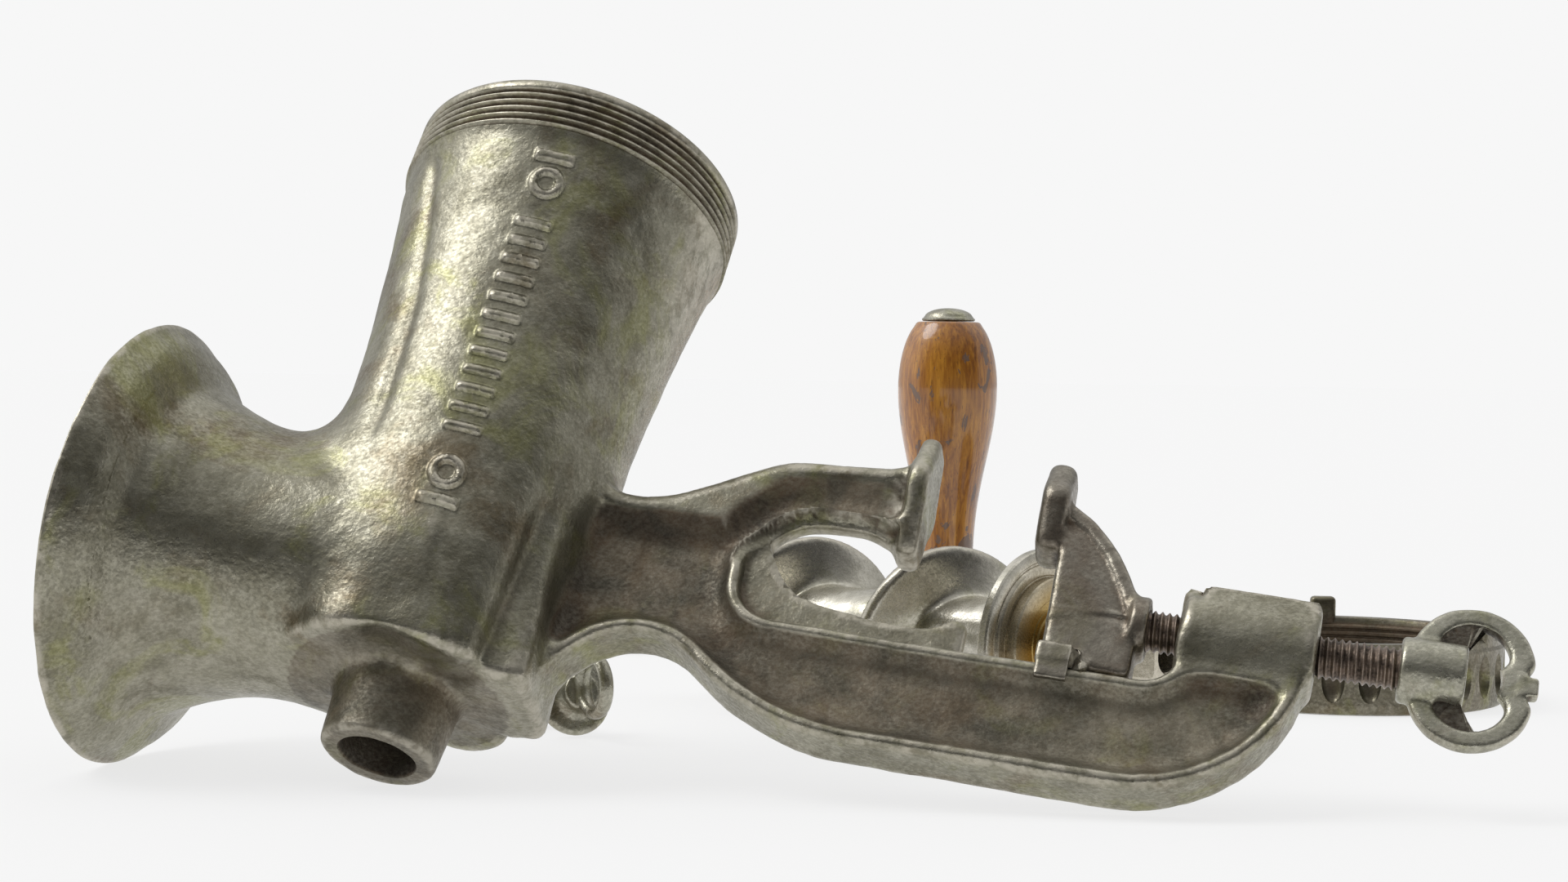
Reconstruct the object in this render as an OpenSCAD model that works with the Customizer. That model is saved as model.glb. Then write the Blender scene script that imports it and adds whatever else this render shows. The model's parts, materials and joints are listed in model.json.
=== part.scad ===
// Hand crank meat grinder, taken apart on a table.
// The tinned casting lies on its side with its table clamp in place.
// The feed screw, knife, plate, ring nut, crank and thumb screw lie around it.
// The casting is drawn in its own frame: +X along the barrel to the outlet,
// +Z up to the hopper, origin on the barrel's axis, then laid on the table.

/* [Barrel] */
// Rear wall to front rim
barrel_len = 148.7; // [140:1:160]
// Front rim ahead of the clamp leg's datum
front_x = 75.6; // [70:1:80]
// Outside radius of the barrel at its rear wall
barrel_r_rear = 30.2; // [29.5:0.1:32]
// Step from the thread's crests in to the barrel behind it
thread_step = 2.4; // [1:0.1:3]
// Radius of the bore that the feed screw turns in
bore_r = 25.3; // [25:0.1:26]
// Wall between the outlet thread and the recess for the knife and plate
muzzle_wall = 7.6; // [6.5:0.1:9]
// Depth of that recess from the front rim
recess_depth = 22; // [20:0.5:24]
// Thickness of the rear wall
rear_wall = 5; // [4:0.5:7]
// Outside radius of the outlet thread
thread_r = 42; // [41.5:0.1:43]
// Depth of a thread groove
thread_depth = 1.1; // [0.6:0.1:1.5]
// Distance from crest to crest of the outlet thread
thread_pitch = 2.15; // [1.8:0.05:2.5]
// Number of crests
thread_crests = 5; // [3:1:6]
// Plain band between the last groove and the rim
rim_band = 2.4; // [1.5:0.1:3]

/* [Rear boss] */
// Length of the bearing boss behind the rear wall
boss_len = 17.2; // [12:0.2:22]
// Outside radius of the boss at its end
boss_r = 13.3; // [12:0.1:15]
// Outside radius of the boss at its root
boss_root_r = 14.6; // [13:0.1:16]
// Radius of the bearing hole
bearing_r = 8.75; // [8:0.05:9.5]

/* [Hopper] */
// Distance of the hopper's axis behind the leg's datum
hopper_x = 46; // [43:0.2:48]
// Height of the rim above the barrel's axis
hopper_h = 74.6; // [74:0.2:90]
// Outside radius of the neck
neck_r = 30.8; // [30.5:0.1:33]
// Outside radius of the bell at its kink
kink_r = 38.8; // [36:0.2:40]
// Outside radius of the rim
rim_r = 52.5; // [50:0.1:58]
// Wall of the hopper
hopper_wall = 4; // [3:0.25:5]

/* [Clamp frame] */
// Width of the frame's flanges
frame_w = 13.4; // [12:0.2:15]
// Thickness of the web between them
web_t = 5.6; // [4:0.2:7]
// Width of the flange around the outside
outer_lip = 2.6; // [2:0.1:4]
// Width of the flange around the opening
inner_lip = 3.6; // [2.5:0.1:5]
// Inner face of the spine behind the datum
spine_in = 43.3; // [42:0.1:45]
// Outer face of the spine behind the datum
spine_out = 70.1; // [66:0.1:72]
// Clamping face of the fixed pad below the barrel's axis
pad_z = 108.5; // [106:0.5:112]
// Thickness of the fixed pad
pad_t = 5; // [4:0.25:7]
// Screw's axis behind the datum
screw_x = 27.7; // [26:0.1:29]
// Lower end of the screw's boss below the barrel's axis
frame_bottom = 199.5; // [195:0.5:205]
// Length of the screw's boss
screw_boss_len = 28.5; // [24:0.5:32]
// Outside radius of the screw's boss
screw_boss_r = 9.3; // [8.5:0.1:11]

/* [Clamp screw and jaw] */
// Outside radius of the clamp screw
screw_r = 4.75; // [4.5:0.05:5.1]
// Pitch of the clamp screw
screw_pitch = 1.5875; // [1.25:0.0125:2]
// Radial running clearance of the screw and the shafts
run_fit = 0.07; // [0.02:0.01:0.1]
// Clearance between parts that slide
slide_gap = 0.3; // [0.25:0.05:0.5]
// Opening of the clamp as it stands
clamp_open = 25.8; // [20:0.2:30]
// Thickness of the jaw's pad
jaw_pad_t = 6.6; // [5:0.2:8]
// Length of the jaw's body along the spine
jaw_len = 20.4; // [18:0.2:24]
// How far the jaw's tabs reach over the spine
tab_reach = 4.7; // [3:0.1:5]
// Thickness of a tab
tab_t = 1.8; // [1.5:0.1:2.5]
// Hub of the thumb turn below the barrel's axis
turn_z = 217.5; // [216:0.5:220]
// Outside radius of one loop of the thumb turn
loop_r = 13.2; // [12:0.2:15]
// Radius of the loop's finger hole
loop_hole_r = 8; // [7:0.1:9]
// Thickness of the thumb turn's plate
loop_t = 3.6; // [3:0.1:5]

/* [Feed screw] */
// Outside radius of the rear flange
flange_r = 24.9; // [24:0.1:24.9]
// Thickness of the rear flange
flange_t = 3; // [2:0.2:4]
// Outside radius of the flights
flight_r = 24.2; // [22:0.1:24.8]
// Length from the flange to the end of the flights
flight_len = 119; // [116:0.5:121]
// Advance of the flight in one turn
flight_pitch = 50; // [40:1:58]
// Core radius
core_r = 11; // [9:0.5:14]
// Step that seats against the rear wall
seat_r = 17.8; // [15:0.1:20]
// Length of the step
seat_len = 4; // [3:0.2:5]
// Length of the shank beyond the flange
shank_len = 38.6; // [36:0.2:42]
// Radius of the shank's driving end
drive_r = 8; // [7.5:0.1:8.2]
// Length of the driving end
drive_len = 14; // [12:0.5:16]
// Flat on the driving end, from the axis
drive_flat = 6.2; // [5.5:0.1:7]
// Radius of the stud that carries the knife
stud_r = 6; // [5:0.1:7]
// Length of the stud
stud_len = 20; // [18:0.5:22]

/* [Knife and plate] */
// Gap between the knife's tips and the recess
knife_gap = 0.8; // [0.5:0.1:1.5]
// Thickness of the knife
knife_t = 8; // [7:0.2:9]
// Gap between the plate's edge and the recess
plate_gap = 0.4; // [0.2:0.1:0.8]
// Thickness of the plate
plate_t = 8; // [6:0.2:9]
// Radius of one of the plate's holes
plate_hole_r = 2.4; // [1.5:0.1:2.6]

/* [Ring nut] */
// Wall of the nut around the thread
nut_wall = 6.7; // [5.5:0.1:9]
// Height
nut_h = 20.4; // [18:0.2:24]
// How far the lip reaches in over the plate
nut_lip_in = 10; // [8:0.5:13]
// Thickness of the lip that presses on the plate
nut_lip = 4.4; // [3:0.2:6]
// Clearance to the barrel's thread
nut_fit = 0.3; // [0.2:0.05:0.5]
// Height of a lug
lug_h = 6.2; // [4:0.2:8]
// Width of a lug
lug_w = 8; // [6:0.5:10]

/* [Crank] */
// Distance between the hub and the grip
crank_len = 132; // [120:2:150]
// Thickness of the arm
arm_t = 9; // [7:0.5:11]
// Width of the arm at its ends
arm_w = 15; // [12:0.5:18]
// Outside radius of the hub
hub_r = 13; // [12:0.5:15]
// Height of the hub
hub_h = 15; // [13:0.5:18]
// Greatest radius of the wooden grip
grip_r = 16.1; // [14:0.2:18]
// Length of the wooden grip
grip_len = 99; // [90:1:110]
// Radius of the bolt through the grip
bolt_r = 3.2; // [2.5:0.1:4]
// Thickness of the washer under the grip
washer_t = 1.6; // [1:0.2:2.5]

/* [Thumb screw] */
// Radius of the collar
collar_r = 10.5; // [9:0.25:12]
// Thickness of the collar
collar_t = 2.2; // [1.5:0.1:3]
// Radius of the thread
thumb_r = 3.9; // [3:0.1:4.1]
// Length of the thread
thumb_len = 22; // [18:0.5:24]
// Outside radius of the ring that is turned by hand
eye_r = 8.6; // [7.5:0.1:10]
// Thickness of that ring
eye_t = 4; // [3:0.25:5]

/* [Hidden] */
$fn = 96;
eps = 0.01;

iron = "#8b8a78";
bright_iron = "#a09f8e";
steel = "#5b4d41";
wood = "#a5581a";

// Where things lie: the casting's pose, then x, y and turn of each loose piece
casting_at = [-94.72, -102.8, 80.12];
casting_turn = [-78.36, -53.393, 68.068];
feed_at = [43.78, -51.9];
feed_turn = 137.9;
knife_at = [-128.62, 8.6];
plate_at = [-154.42, 100.5];
nut_at = [141.18, 56.1];
grip_at = [28.28, 130.3];
crank_turn = 162.4;
thumb_at = [-78.92, -53.1];
thumb_turn_z = -60;

// Sizes that follow the outlet thread
barrel_r_front = thread_r - thread_step;
recess_r = thread_r - muzzle_wall;
knife_r = recess_r - knife_gap;
plate_r = recess_r - plate_gap;
nut_r = thread_r + nut_fit + nut_wall;
nut_hole_r = thread_r - nut_lip_in;

// Casting levels
rear_x = front_x - barrel_len;
boss_end_x = rear_x - boss_len;
seat_x = rear_x + rear_wall;
rim_z = hopper_h;
neck_cut_z = 38;
leg_cut_z = -38;
kink_z = hopper_h - 13;
shoulder_x = front_x - rim_band - thread_crests * thread_pitch;
neck_in_r = neck_r - hopper_wall;
throat_r = min(neck_in_r - 3, bore_r - 1);

// Clamp levels
frame_half = frame_w / 2;
jaw_face_z = -pad_z - clamp_open;
jaw_top_z = jaw_face_z - jaw_pad_t;
jaw_end_z = jaw_top_z - jaw_len;
boss_top_z = -frame_bottom + screw_boss_len;
socket_r = screw_r + run_fit;
screw_tip_z = jaw_top_z - 6;
tab_w = 7.2;
jaw_half = frame_half + slide_gap + tab_t;
jaw_body_half = 6.4;
neck_pin_r = 1.5;
groove_r = 3;
pin_fit = 0.02;
pin_z = screw_tip_z - 5;
pin_x = -screw_x + groove_r + neck_pin_r + 0.15;

// Turn a radius and height profile about +X or about +Z
module about_x(points) { rotate([0, 90, 0]) rotate_extrude() polygon(points); }
module about_z(points) { rotate_extrude() polygon(points); }

// An arc of radius r that rounds the corner b between a and c
function corner_arc(a, b, c, r, steps) =
    let (u = (a - b) / norm(a - b), v = (c - b) / norm(c - b))
    let (half = acos(u * v) / 2, bis = (u + v) / norm(u + v))
    let (centre = b + bis * r / sin(half))
    let (from = b + u * r / tan(half) - centre)
    let (way = sign(v[0] * u[1] - v[1] * u[0]), start = atan2(from[1], from[0]))
    [for (i = [0 : steps])
        let (t = start + way * (180 - 2 * half) * i / steps)
        centre + r * [cos(t), sin(t)]];

// An outline from corners given as x, y and the radius that rounds each
function rounded(corners, steps = 10) =
    let (n = len(corners))
    [for (i = [0 : n - 1])
        let (p = corners[(i + n - 1) % n], q = corners[i], s = corners[(i + 1) % n])
        let (arc = q[2] == 0 ? [[q[0], q[1]]]
            : corner_arc([p[0], p[1]], [q[0], q[1]], [s[0], s[1]], q[2], steps))
        for (point = arc) point];

// A flat outline given in casting x and z, thick along casting y
module plate_xz(t) { rotate([90, 0, 0]) translate([0, 0, -t / 2]) linear_extrude(t) children(); }

// Lay a piece of the casting or of its clamp on the table
module laid() { translate(casting_at) rotate(casting_turn) children(); }

// ---------- casting ----------

module barrel_outside() {
    about_x([
        [0, rear_x], [barrel_r_rear - 2, rear_x],
        [barrel_r_rear - 0.6, rear_x + 0.6], [barrel_r_rear, rear_x + 2],
        [34.3, 0], [barrel_r_front - 1.2, shoulder_x - 17],
        [barrel_r_front, shoulder_x - 9], [thread_r - 0.6, shoulder_x - 3],
        [thread_r, shoulder_x - 0.8],
        for (i = [0 : thread_crests - 1]) each [
            [thread_r, shoulder_x + i * thread_pitch],
            [thread_r - thread_depth, shoulder_x + (i + 0.5) * thread_pitch]
        ],
        [thread_r, front_x - rim_band], [thread_r, front_x - 0.5],
        [thread_r - 0.5, front_x], [0, front_x]
    ]);
}

module barrel_boss() {
    about_x([
        [0, boss_end_x], [boss_r - 0.5, boss_end_x], [boss_r, boss_end_x + 0.5],
        [boss_root_r - 0.4, rear_x - 2], [boss_root_r + 1.4, rear_x], [0, rear_x + 1]
    ]);
}

module barrel_inside() {
    about_x([
        [0, seat_x], [bore_r, seat_x], [bore_r, front_x - recess_depth - 10],
        [recess_r, front_x - recess_depth], [recess_r, front_x + 1], [0, front_x + 1]
    ]);
    translate([boss_end_x - 1, 0, 0]) rotate([0, 90, 0])
        cylinder(h = boss_len + rear_wall + 2, r = bearing_r);
}

// Bell, neck and stub of the hopper, solid
module hopper_outside() {
    translate([-hopper_x, 0, 0]) about_z([
        [0, 0], [neck_r, 0], [neck_r, neck_cut_z + 1],
        [neck_r + 1.5, kink_z - 17], [neck_r + 4.4, kink_z - 9.4],
        [kink_r, kink_z], [kink_r + 4.8, kink_z + 3], [kink_r + 9, kink_z + 6.6],
        [rim_r - 2.2, kink_z + 9.8], [rim_r - 0.5, rim_z - 1.5],
        [rim_r, rim_z - 0.6], [rim_r - 0.6, rim_z], [0, rim_z]
    ]);
}

module hopper_inside() {
    translate([-hopper_x, 0, 0]) about_z([
        [0, 0], [throat_r, 0], [throat_r, bore_r],
        [neck_in_r, neck_cut_z - 4], [neck_in_r, kink_z - 14],
        [kink_r - hopper_wall, kink_z + 1.5],
        [kink_r + 8.6 - hopper_wall, kink_z + 8.8],
        [rim_r - 2.6, rim_z - 1], [rim_r - 2, rim_z + 1], [0, rim_z + 1]
    ]);
}

module leg_stub() {
    intersection() {
        frame_solid();
        translate([-100, -20, leg_cut_z]) cube([120, 40, 60]);
    }
}

// Barrel of the casting with its rear boss, the hopper's root and the leg's root
module barrel() {
    color(iron) laid() difference() {
        union() {
            barrel_outside();
            barrel_boss();
            intersection() {
                hopper_outside();
                translate([-hopper_x - 60, -60, 0]) cube([120, 120, neck_cut_z]);
            }
            leg_stub();
        }
        barrel_inside();
        hopper_inside();
        key_seat(0);
    }
}

// Neck and bell of the hopper, the same casting above the barrel
module hopper() {
    color(iron) laid() difference() {
        intersection() {
            hopper_outside();
            translate([-hopper_x - 80, -80, neck_cut_z]) cube([160, 160, hopper_h]);
        }
        hopper_inside();
    }
}

// Corners of the leg and clamp's outline: x, z and corner radius
function frame_corners() = [
    [-10, -12, 0], [-15.4, -45.5, 24], [0.9, -73.6, 26], [3.4, -pad_z + pad_t, 0],
    [-10, -pad_z + pad_t, 0], [-10, -frame_bottom, 0],
    [-spine_out, -frame_bottom, 39], [-spine_out, -83.3, 60],
    [-43.9, -50, 19], [-67, -30, 0], [-67, -12, 0]
];
function opening_corners() = [
    [-screw_x + 60, boss_top_z, 0], [-spine_in, boss_top_z, 8],
    [-spine_in, -112, 60], [-spine_in + 1.2, -70.4, 8.5], [-24.5, -68.6, 6],
    [-12.2, -80.5, 14], [-12.6, -pad_z + pad_t, 0], [-screw_x + 60, -pad_z + pad_t, 0]
];

// Ledge of the web that runs on into the opening, above the jaw's travel
function ledge_corners() = [
    [-19, -72.6, 0], [-34, -81.5, 16], [-37.6, -104, 60], [-37.4, -114, 10],
    [-34, -120.5, 2], [-34, -123.2, 0.5], [-spine_in - 2, -123.2, 0],
    [-spine_in - 2, -68.5, 0], [-19, -68.5, 0]
];

module frame_outline() { polygon(rounded(frame_corners())); }
module frame_opening() { polygon(rounded(opening_corners())); }

// Hollow on one side of the web
module web_pocket() {
    difference() {
        offset(delta = -outer_lip) frame_outline();
        offset(delta = inner_lip) frame_opening();
        translate([-screw_x - 12, -frame_bottom - 1]) square([40, screw_boss_len + 2]);
        translate([-8, -pad_z + pad_t - 6]) square([20, 8]);
    }
}

module frame_solid() {
    plate_xz(web_t) polygon(rounded(ledge_corners()));
    difference() {
        plate_xz(frame_w) difference() {
            frame_outline();
            frame_opening();
            translate([-screw_x, -frame_bottom - 1]) square([40, screw_boss_len + 2]);
        }
        for (side = [-1, 1])
            translate([0, side * (frame_w + web_t) / 2, 0])
                plate_xz(frame_w) web_pocket();
    }
}

// Lozenge pad that the table's top is clamped against
module fixed_pad() {
    translate([0, 0, -pad_z]) linear_extrude(pad_t) polygon(rounded([
        [12.8, -4.5, 3], [12.8, 4.5, 3], [-2, 12.5, 6],
        [-19.6, 4.5, 3], [-19.6, -4.5, 3], [-2, -12.5, 6]
    ], 6));
}

// Leg, spine, fixed pad and screw boss of the table clamp
module clamp_frame() {
    color(iron) laid() difference() {
        union() {
            difference() {
                frame_solid();
                translate([-100, -20, leg_cut_z]) cube([120, 40, 60]);
            }
            fixed_pad();
            translate([-screw_x, 0, -frame_bottom])
                cylinder(h = screw_boss_len, r = screw_boss_r);
        }
        translate([-screw_x, 0, -frame_bottom - 1])
            cylinder(h = screw_boss_len + 2, r = socket_r);
    }
}

// Slot and key that stop the plate from turning
module key_seat(grow) {
    translate([front_x - recess_depth / 2, -2 - grow, recess_r - 1.6])
        cube([recess_depth / 2 - 1, 4 + 2 * grow, 4.2]);
}

module plate_key() {
    color(steel) laid() translate([front_x - recess_depth / 2 + 0.1, -1.9, recess_r - 1.5])
        cube([recess_depth / 2 - 1.2, 3.8, 4]);
}

// ---------- clamp ----------

module jaw_pad() {
    translate([0, 0, jaw_top_z]) linear_extrude(jaw_pad_t) polygon(rounded([
        [11, -4, 3], [11, 4, 3], [0, 10.2, 6],
        [-13, 5.5, 3], [-13, -5.5, 3], [0, -10.2, 6]
    ], 6));
}

// Jaw that slides along the spine, astride it on two tabs
module sliding_jaw() {
    color(iron) laid() difference() {
        union() {
            jaw_pad();
            plate_xz(9) polygon([
                [0, jaw_top_z], [-0.9, jaw_top_z - 1.6], [-4.7, jaw_top_z - 7],
                [-11.5, jaw_top_z - 13], [-screw_x + 7, jaw_end_z + 2],
                [-screw_x, jaw_end_z], [-screw_x - 4, jaw_top_z]
            ]);
            translate([-spine_in + slide_gap, -jaw_body_half, jaw_end_z])
                cube([spine_in - screw_x + 6, 2 * jaw_body_half, jaw_len]);
            translate([-spine_in + slide_gap, -jaw_half, jaw_top_z - tab_w])
                cube([3.2, 2 * jaw_half, tab_w]);
            translate([-screw_x, 0, jaw_end_z - 1.8])
                cylinder(h = 8, r = 8.3);
            for (side = [-1, 1])
                translate([-spine_in - tab_reach, side > 0 ? frame_half + slide_gap : -jaw_half,
                        jaw_top_z - tab_w])
                    cube([tab_reach + slide_gap + 2, tab_t, tab_w]);
        }
        translate([-screw_x, 0, jaw_end_z - 5])
            cylinder(h = screw_tip_z + slide_gap - jaw_end_z + 5, r = socket_r);
        translate([pin_x, 0, pin_z]) rotate([90, 0, 0])
            cylinder(h = 30, r = neck_pin_r + pin_fit, center = true);
    }
}

// Pin that holds the screw's groove, so that the screw also pulls the jaw back
module jaw_pin() {
    color(steel) laid() translate([pin_x, 0, pin_z]) rotate([90, 0, 0])
        cylinder(h = 2 * 4.5, r = neck_pin_r, center = true);
}

// Threaded screw from the jaw's socket to the thumb turn
module clamp_screw() {
    first = jaw_end_z - 4;
    count = floor((turn_z + first) / screw_pitch);
    color(steel) laid() translate([-screw_x, 0, 0]) about_z([
        [0, screw_tip_z], [screw_r - 0.6, screw_tip_z], [screw_r, screw_tip_z - 0.6],
        [screw_r, pin_z + 1.9], [groove_r, pin_z + 1.9],
        [groove_r, pin_z - 1.9], [screw_r, pin_z - 1.9],
        for (i = [0 : count - 1]) each [
            [screw_r, first - i * screw_pitch],
            [screw_r - 0.7, first - (i + 0.5) * screw_pitch]
        ],
        [screw_r, -turn_z + eps], [screw_r, -turn_z - 12], [0, -turn_z - 12]
    ]);
}

// Two joined loops, pinched in at the end away from the hub, about their middle
module loops(loop_x) {
    waist = 0.77 * loop_r;
    difference() {
        union() {
            difference() {
                for (side = [-1, 1]) translate([side * loop_x, 0]) circle(r = loop_r);
                for (side = [-1, 1]) translate([side * (loop_x + 1), 0]) circle(r = loop_hole_r);
            }
            translate([0, -waist + 1.8]) circle(r = 2.8);
        }
        translate([0, -waist - 5]) circle(r = 5);
    }
}

// Two-looped turn with a round hub and a stub in the pinch at its end
module thumb_turn() {
    hub_r = 7.4;
    hub_len = 15;
    loop_z = -turn_z - loop_r - 3;
    loop_x = 3.6;
    color(bright_iron) laid() difference() {
        union() {
            translate([-screw_x, 0, loop_z]) rotate([90, 0, 0])
                linear_extrude(height = loop_t, center = true) loops(loop_x);
            translate([-screw_x, 0, -turn_z - hub_len]) cylinder(h = hub_len, r = hub_r);
            translate([-screw_x - 2.3, -loop_t / 2, loop_z - loop_r - 1.2]) cube([4.6, loop_t, 5]);
        }
        translate([-screw_x, 0, -turn_z - 12]) cylinder(h = 13, r = screw_r + pin_fit);
    }
}

// ---------- feed screw ----------

// Lay a piece of the feed screw on its flange, its front end at +Z of its own frame
module feed_laid() {
    translate([feed_at[0], feed_at[1], flange_r]) rotate([0, 0, feed_turn])
        rotate([0, 90, 0]) children();
}

// Section of the core and its one flight
module flight_section() {
    root = 38;
    crest = 15;
    circle(r = core_r, $fn = 32);
    polygon([
        for (a = [-root : 9.5 : root]) (core_r - 0.5) * [cos(a), sin(a)],
        for (a = [crest : -7.5 : -crest]) flight_r * [cos(a), sin(a)]
    ]);
}

// Left-handed flight that drives the food forward when the crank turns clockwise
module feed_flights() {
    turns = (flight_len - flange_t) / flight_pitch;
    flight_start = 23;
    color(bright_iron) feed_laid() translate([0, 0, flange_t])
        rotate(flight_start) linear_extrude(flight_len - flange_t, twist = 360 * turns,
            slices = round(turns * 20), $fn = 36) flight_section();
}

// Rear flange, seating step, journal and driving end, tapped for the thumb screw
module feed_shank() {
    color(bright_iron) feed_laid() difference() {
        union() {
            about_z([
                [0, flange_t], [flange_r, flange_t], [flange_r, 0.5], [flange_r - 0.5, 0],
                [seat_r + 3, 0], [seat_r + 2, -0.8], [seat_r, -0.8],
                [seat_r, 0.3 - seat_len], [seat_r - 0.3, -seat_len],
                [bearing_r - run_fit, -seat_len],
                [bearing_r - run_fit, drive_len - shank_len],
                [drive_r, drive_len - shank_len],
                [drive_r, 0.8 - shank_len], [drive_r - 0.8, -shank_len], [0, -shank_len]
            ]);
        }
        translate([-12, drive_flat, -shank_len - 1]) cube([24, 10, drive_len + 1]);
        translate([0, 0, -shank_len - 1]) cylinder(h = thumb_len + 3, r = thumb_r + 0.1);
    }
}

// Stud in the front end that carries the knife and centres the plate
module knife_stud() {
    color(steel) feed_laid() translate([0, 0, flight_len]) {
        translate([-stud_r, -stud_r, 0]) cube([2 * stud_r, 2 * stud_r, knife_t]);
        cylinder(h = stud_len, r = stud_r - 1);
    }
}

// ---------- loose pieces ----------

// Four-bladed knife with a square hole for the stud
module knife() {
    blade_w = 11;
    color(steel) translate([knife_at[0], knife_at[1], 0]) rotate([0, 0, 166]) difference() {
        union() {
            cylinder(h = knife_t, r = 12.5);
            for (i = [0 : 3]) rotate([0, 0, 90 * i]) {
                translate([0, -blade_w / 2, 0]) cube([knife_r - 0.4, blade_w, 2.4]);
                translate([0, -blade_w / 2, 0]) cube([knife_r - 4, blade_w / 2, 5.4]);
            }
        }
        translate([-stud_r - 0.1, -stud_r - 0.1, -1])
            cube([2 * stud_r + 0.2, 2 * stud_r + 0.2, knife_t + 2]);
    }
}

// Perforated plate with its keyway and the hole that the stud turns in
module cutter_plate() {
    row_step = 7.2;
    color(steel) translate([plate_at[0], plate_at[1], 0]) difference() {
        cylinder(h = plate_t, r = plate_r);
        translate([0, 0, -1]) cylinder(h = plate_t + 2, r = stud_r - 1 + 0.1);
        for (ring = [1 : 3])
            for (i = [0 : 6 * ring - 1])
                rotate([0, 0, i * 60 / ring]) translate([3.6 + row_step * ring, 0, -1])
                    cylinder(h = plate_t + 2, r = plate_hole_r);
        rotate([0, 0, 180]) translate([plate_r - 2.2, -2.1, -1]) cube([5, 4.2, plate_t + 2]);
    }
}

// Ring nut, open side up, with lugs on its rim and hollows around its wall
module ring_nut() {
    hollows = 30;
    color(iron) translate([nut_at[0], nut_at[1], 0]) difference() {
        union() {
            about_z([
                [nut_hole_r, 0], [nut_r - 2, 0], [nut_r - 0.6, 0.6], [nut_r, 2],
                [nut_r, nut_h - 1], [nut_r - 1, nut_h],
                [thread_r + nut_fit + 1.2, nut_h], [thread_r + nut_fit, nut_h - 1.2],
                [thread_r + nut_fit, nut_lip], [nut_hole_r, nut_lip]
            ]);
            for (i = [0 : 2]) rotate([0, 0, 84 + 120 * i])
                translate([nut_r - 6.2, -lug_w / 2, nut_h - 1]) cube([5.6, lug_w, lug_h + 1]);
        }
        for (i = [0 : hollows - 1]) rotate([0, 0, 6 + i * 360 / hollows])
            translate([nut_r + 1.6, 0, 4.4]) cylinder(h = 11.5, r = 3.2);
    }
}

// ---------- crank ----------

// The crank lies flat, its arm running back from the grip to the hub
module crank_laid() { translate([grip_at[0], grip_at[1], 0]) rotate([0, 0, crank_turn]) children(); }

module crank_arm() {
    waist = arm_w * 0.8;
    color(iron) crank_laid() difference() {
        union() {
            cylinder(h = arm_t + 2, r = arm_w / 2 + 1.4);
            linear_extrude(arm_t) polygon([
                [0, -arm_w / 2], [crank_len / 2, -waist / 2], [crank_len, -arm_w / 2],
                [crank_len, arm_w / 2], [crank_len / 2, waist / 2], [0, arm_w / 2]
            ]);
            translate([crank_len, 0, 0]) about_z([
                [0, 0], [hub_r - 3, 0], [hub_r - 0.9, 0.9], [hub_r, 3],
                [hub_r, hub_h - 1], [hub_r - 1, hub_h], [0, hub_h]
            ]);
        }
        translate([0, 0, -1]) cylinder(h = arm_t + 4, r = bolt_r + 0.02);
        translate([0, 0, -1]) cylinder(h = 4, r = bolt_r + 2.4);
        difference() {
            translate([crank_len, 0, -1]) cylinder(h = hub_h + 2, r = drive_r + 0.1);
            translate([crank_len - 12, drive_flat + 0.1, -2]) cube([24, 10, hub_h + 4]);
        }
    }
}

// Bolt through the grip, riveted under the arm and capped by a domed head
module grip_bolt() {
    top = arm_t + 2 + washer_t + grip_len + 2 * slide_gap;
    dome_r = 8.6;
    dome_h = 4.2;
    color(bright_iron) crank_laid() {
        cylinder(h = top + 1, r = bolt_r);
        translate([0, 0, 0.4]) cylinder(h = 2.5, r = bolt_r + 2.2);
        translate([0, 0, top]) about_z([
            [0, 0], [dome_r, 0], [dome_r, 0.8], [dome_r - 0.6, 1.2],
            for (a = [15 : 15 : 90]) [(dome_r - 0.8) * cos(a), 1 + (dome_h - 1) * sin(a)]
        ]);
    }
}

module grip_washer() {
    color(steel) crank_laid() translate([0, 0, arm_t + 2]) difference() {
        cylinder(h = washer_t, r = 8.4);
        translate([0, 0, -1]) cylinder(h = washer_t + 2, r = bolt_r + 0.02);
    }
}

// Turned wooden grip: full above, slim below, with a flat crown
module wood_grip() {
    base = arm_t + 2 + washer_t + slide_gap;
    color(wood) crank_laid() translate([0, 0, base]) difference() {
        about_z([
            [0, 0], [8.2, 0], [8.9, 0.7], [8.9, 5],
            for (i = [0 : 10]) let (t = i / 10)
                [9 + (grip_r - 9) * pow(sin(90 * t), 4), 8 + t * (grip_len * 0.78 - 8)],
            for (a = [10 : 10 : 60])
                [grip_r * cos(a * 0.72) - 1.1 * (1 - cos(a)), grip_len * (0.78 + 0.235 * sin(a))],
            [10.4, grip_len - 0.3], [9.8, grip_len], [0, grip_len]
        ]);
        translate([0, 0, -1]) cylinder(h = grip_len + 2, r = bolt_r + run_fit);
    }
}

// ---------- thumb screw ----------

// The screw rests on its collar and on the tip of its thread
module thumb_laid() {
    tilt = asin((collar_r - thumb_r) / thumb_len) * 0.98;
    translate([thumb_at[0], thumb_at[1], collar_r * cos(tilt) + 0.05])
        rotate([0, 0, thumb_turn_z]) rotate([0, 90 - tilt, 0]) children();
}

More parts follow.
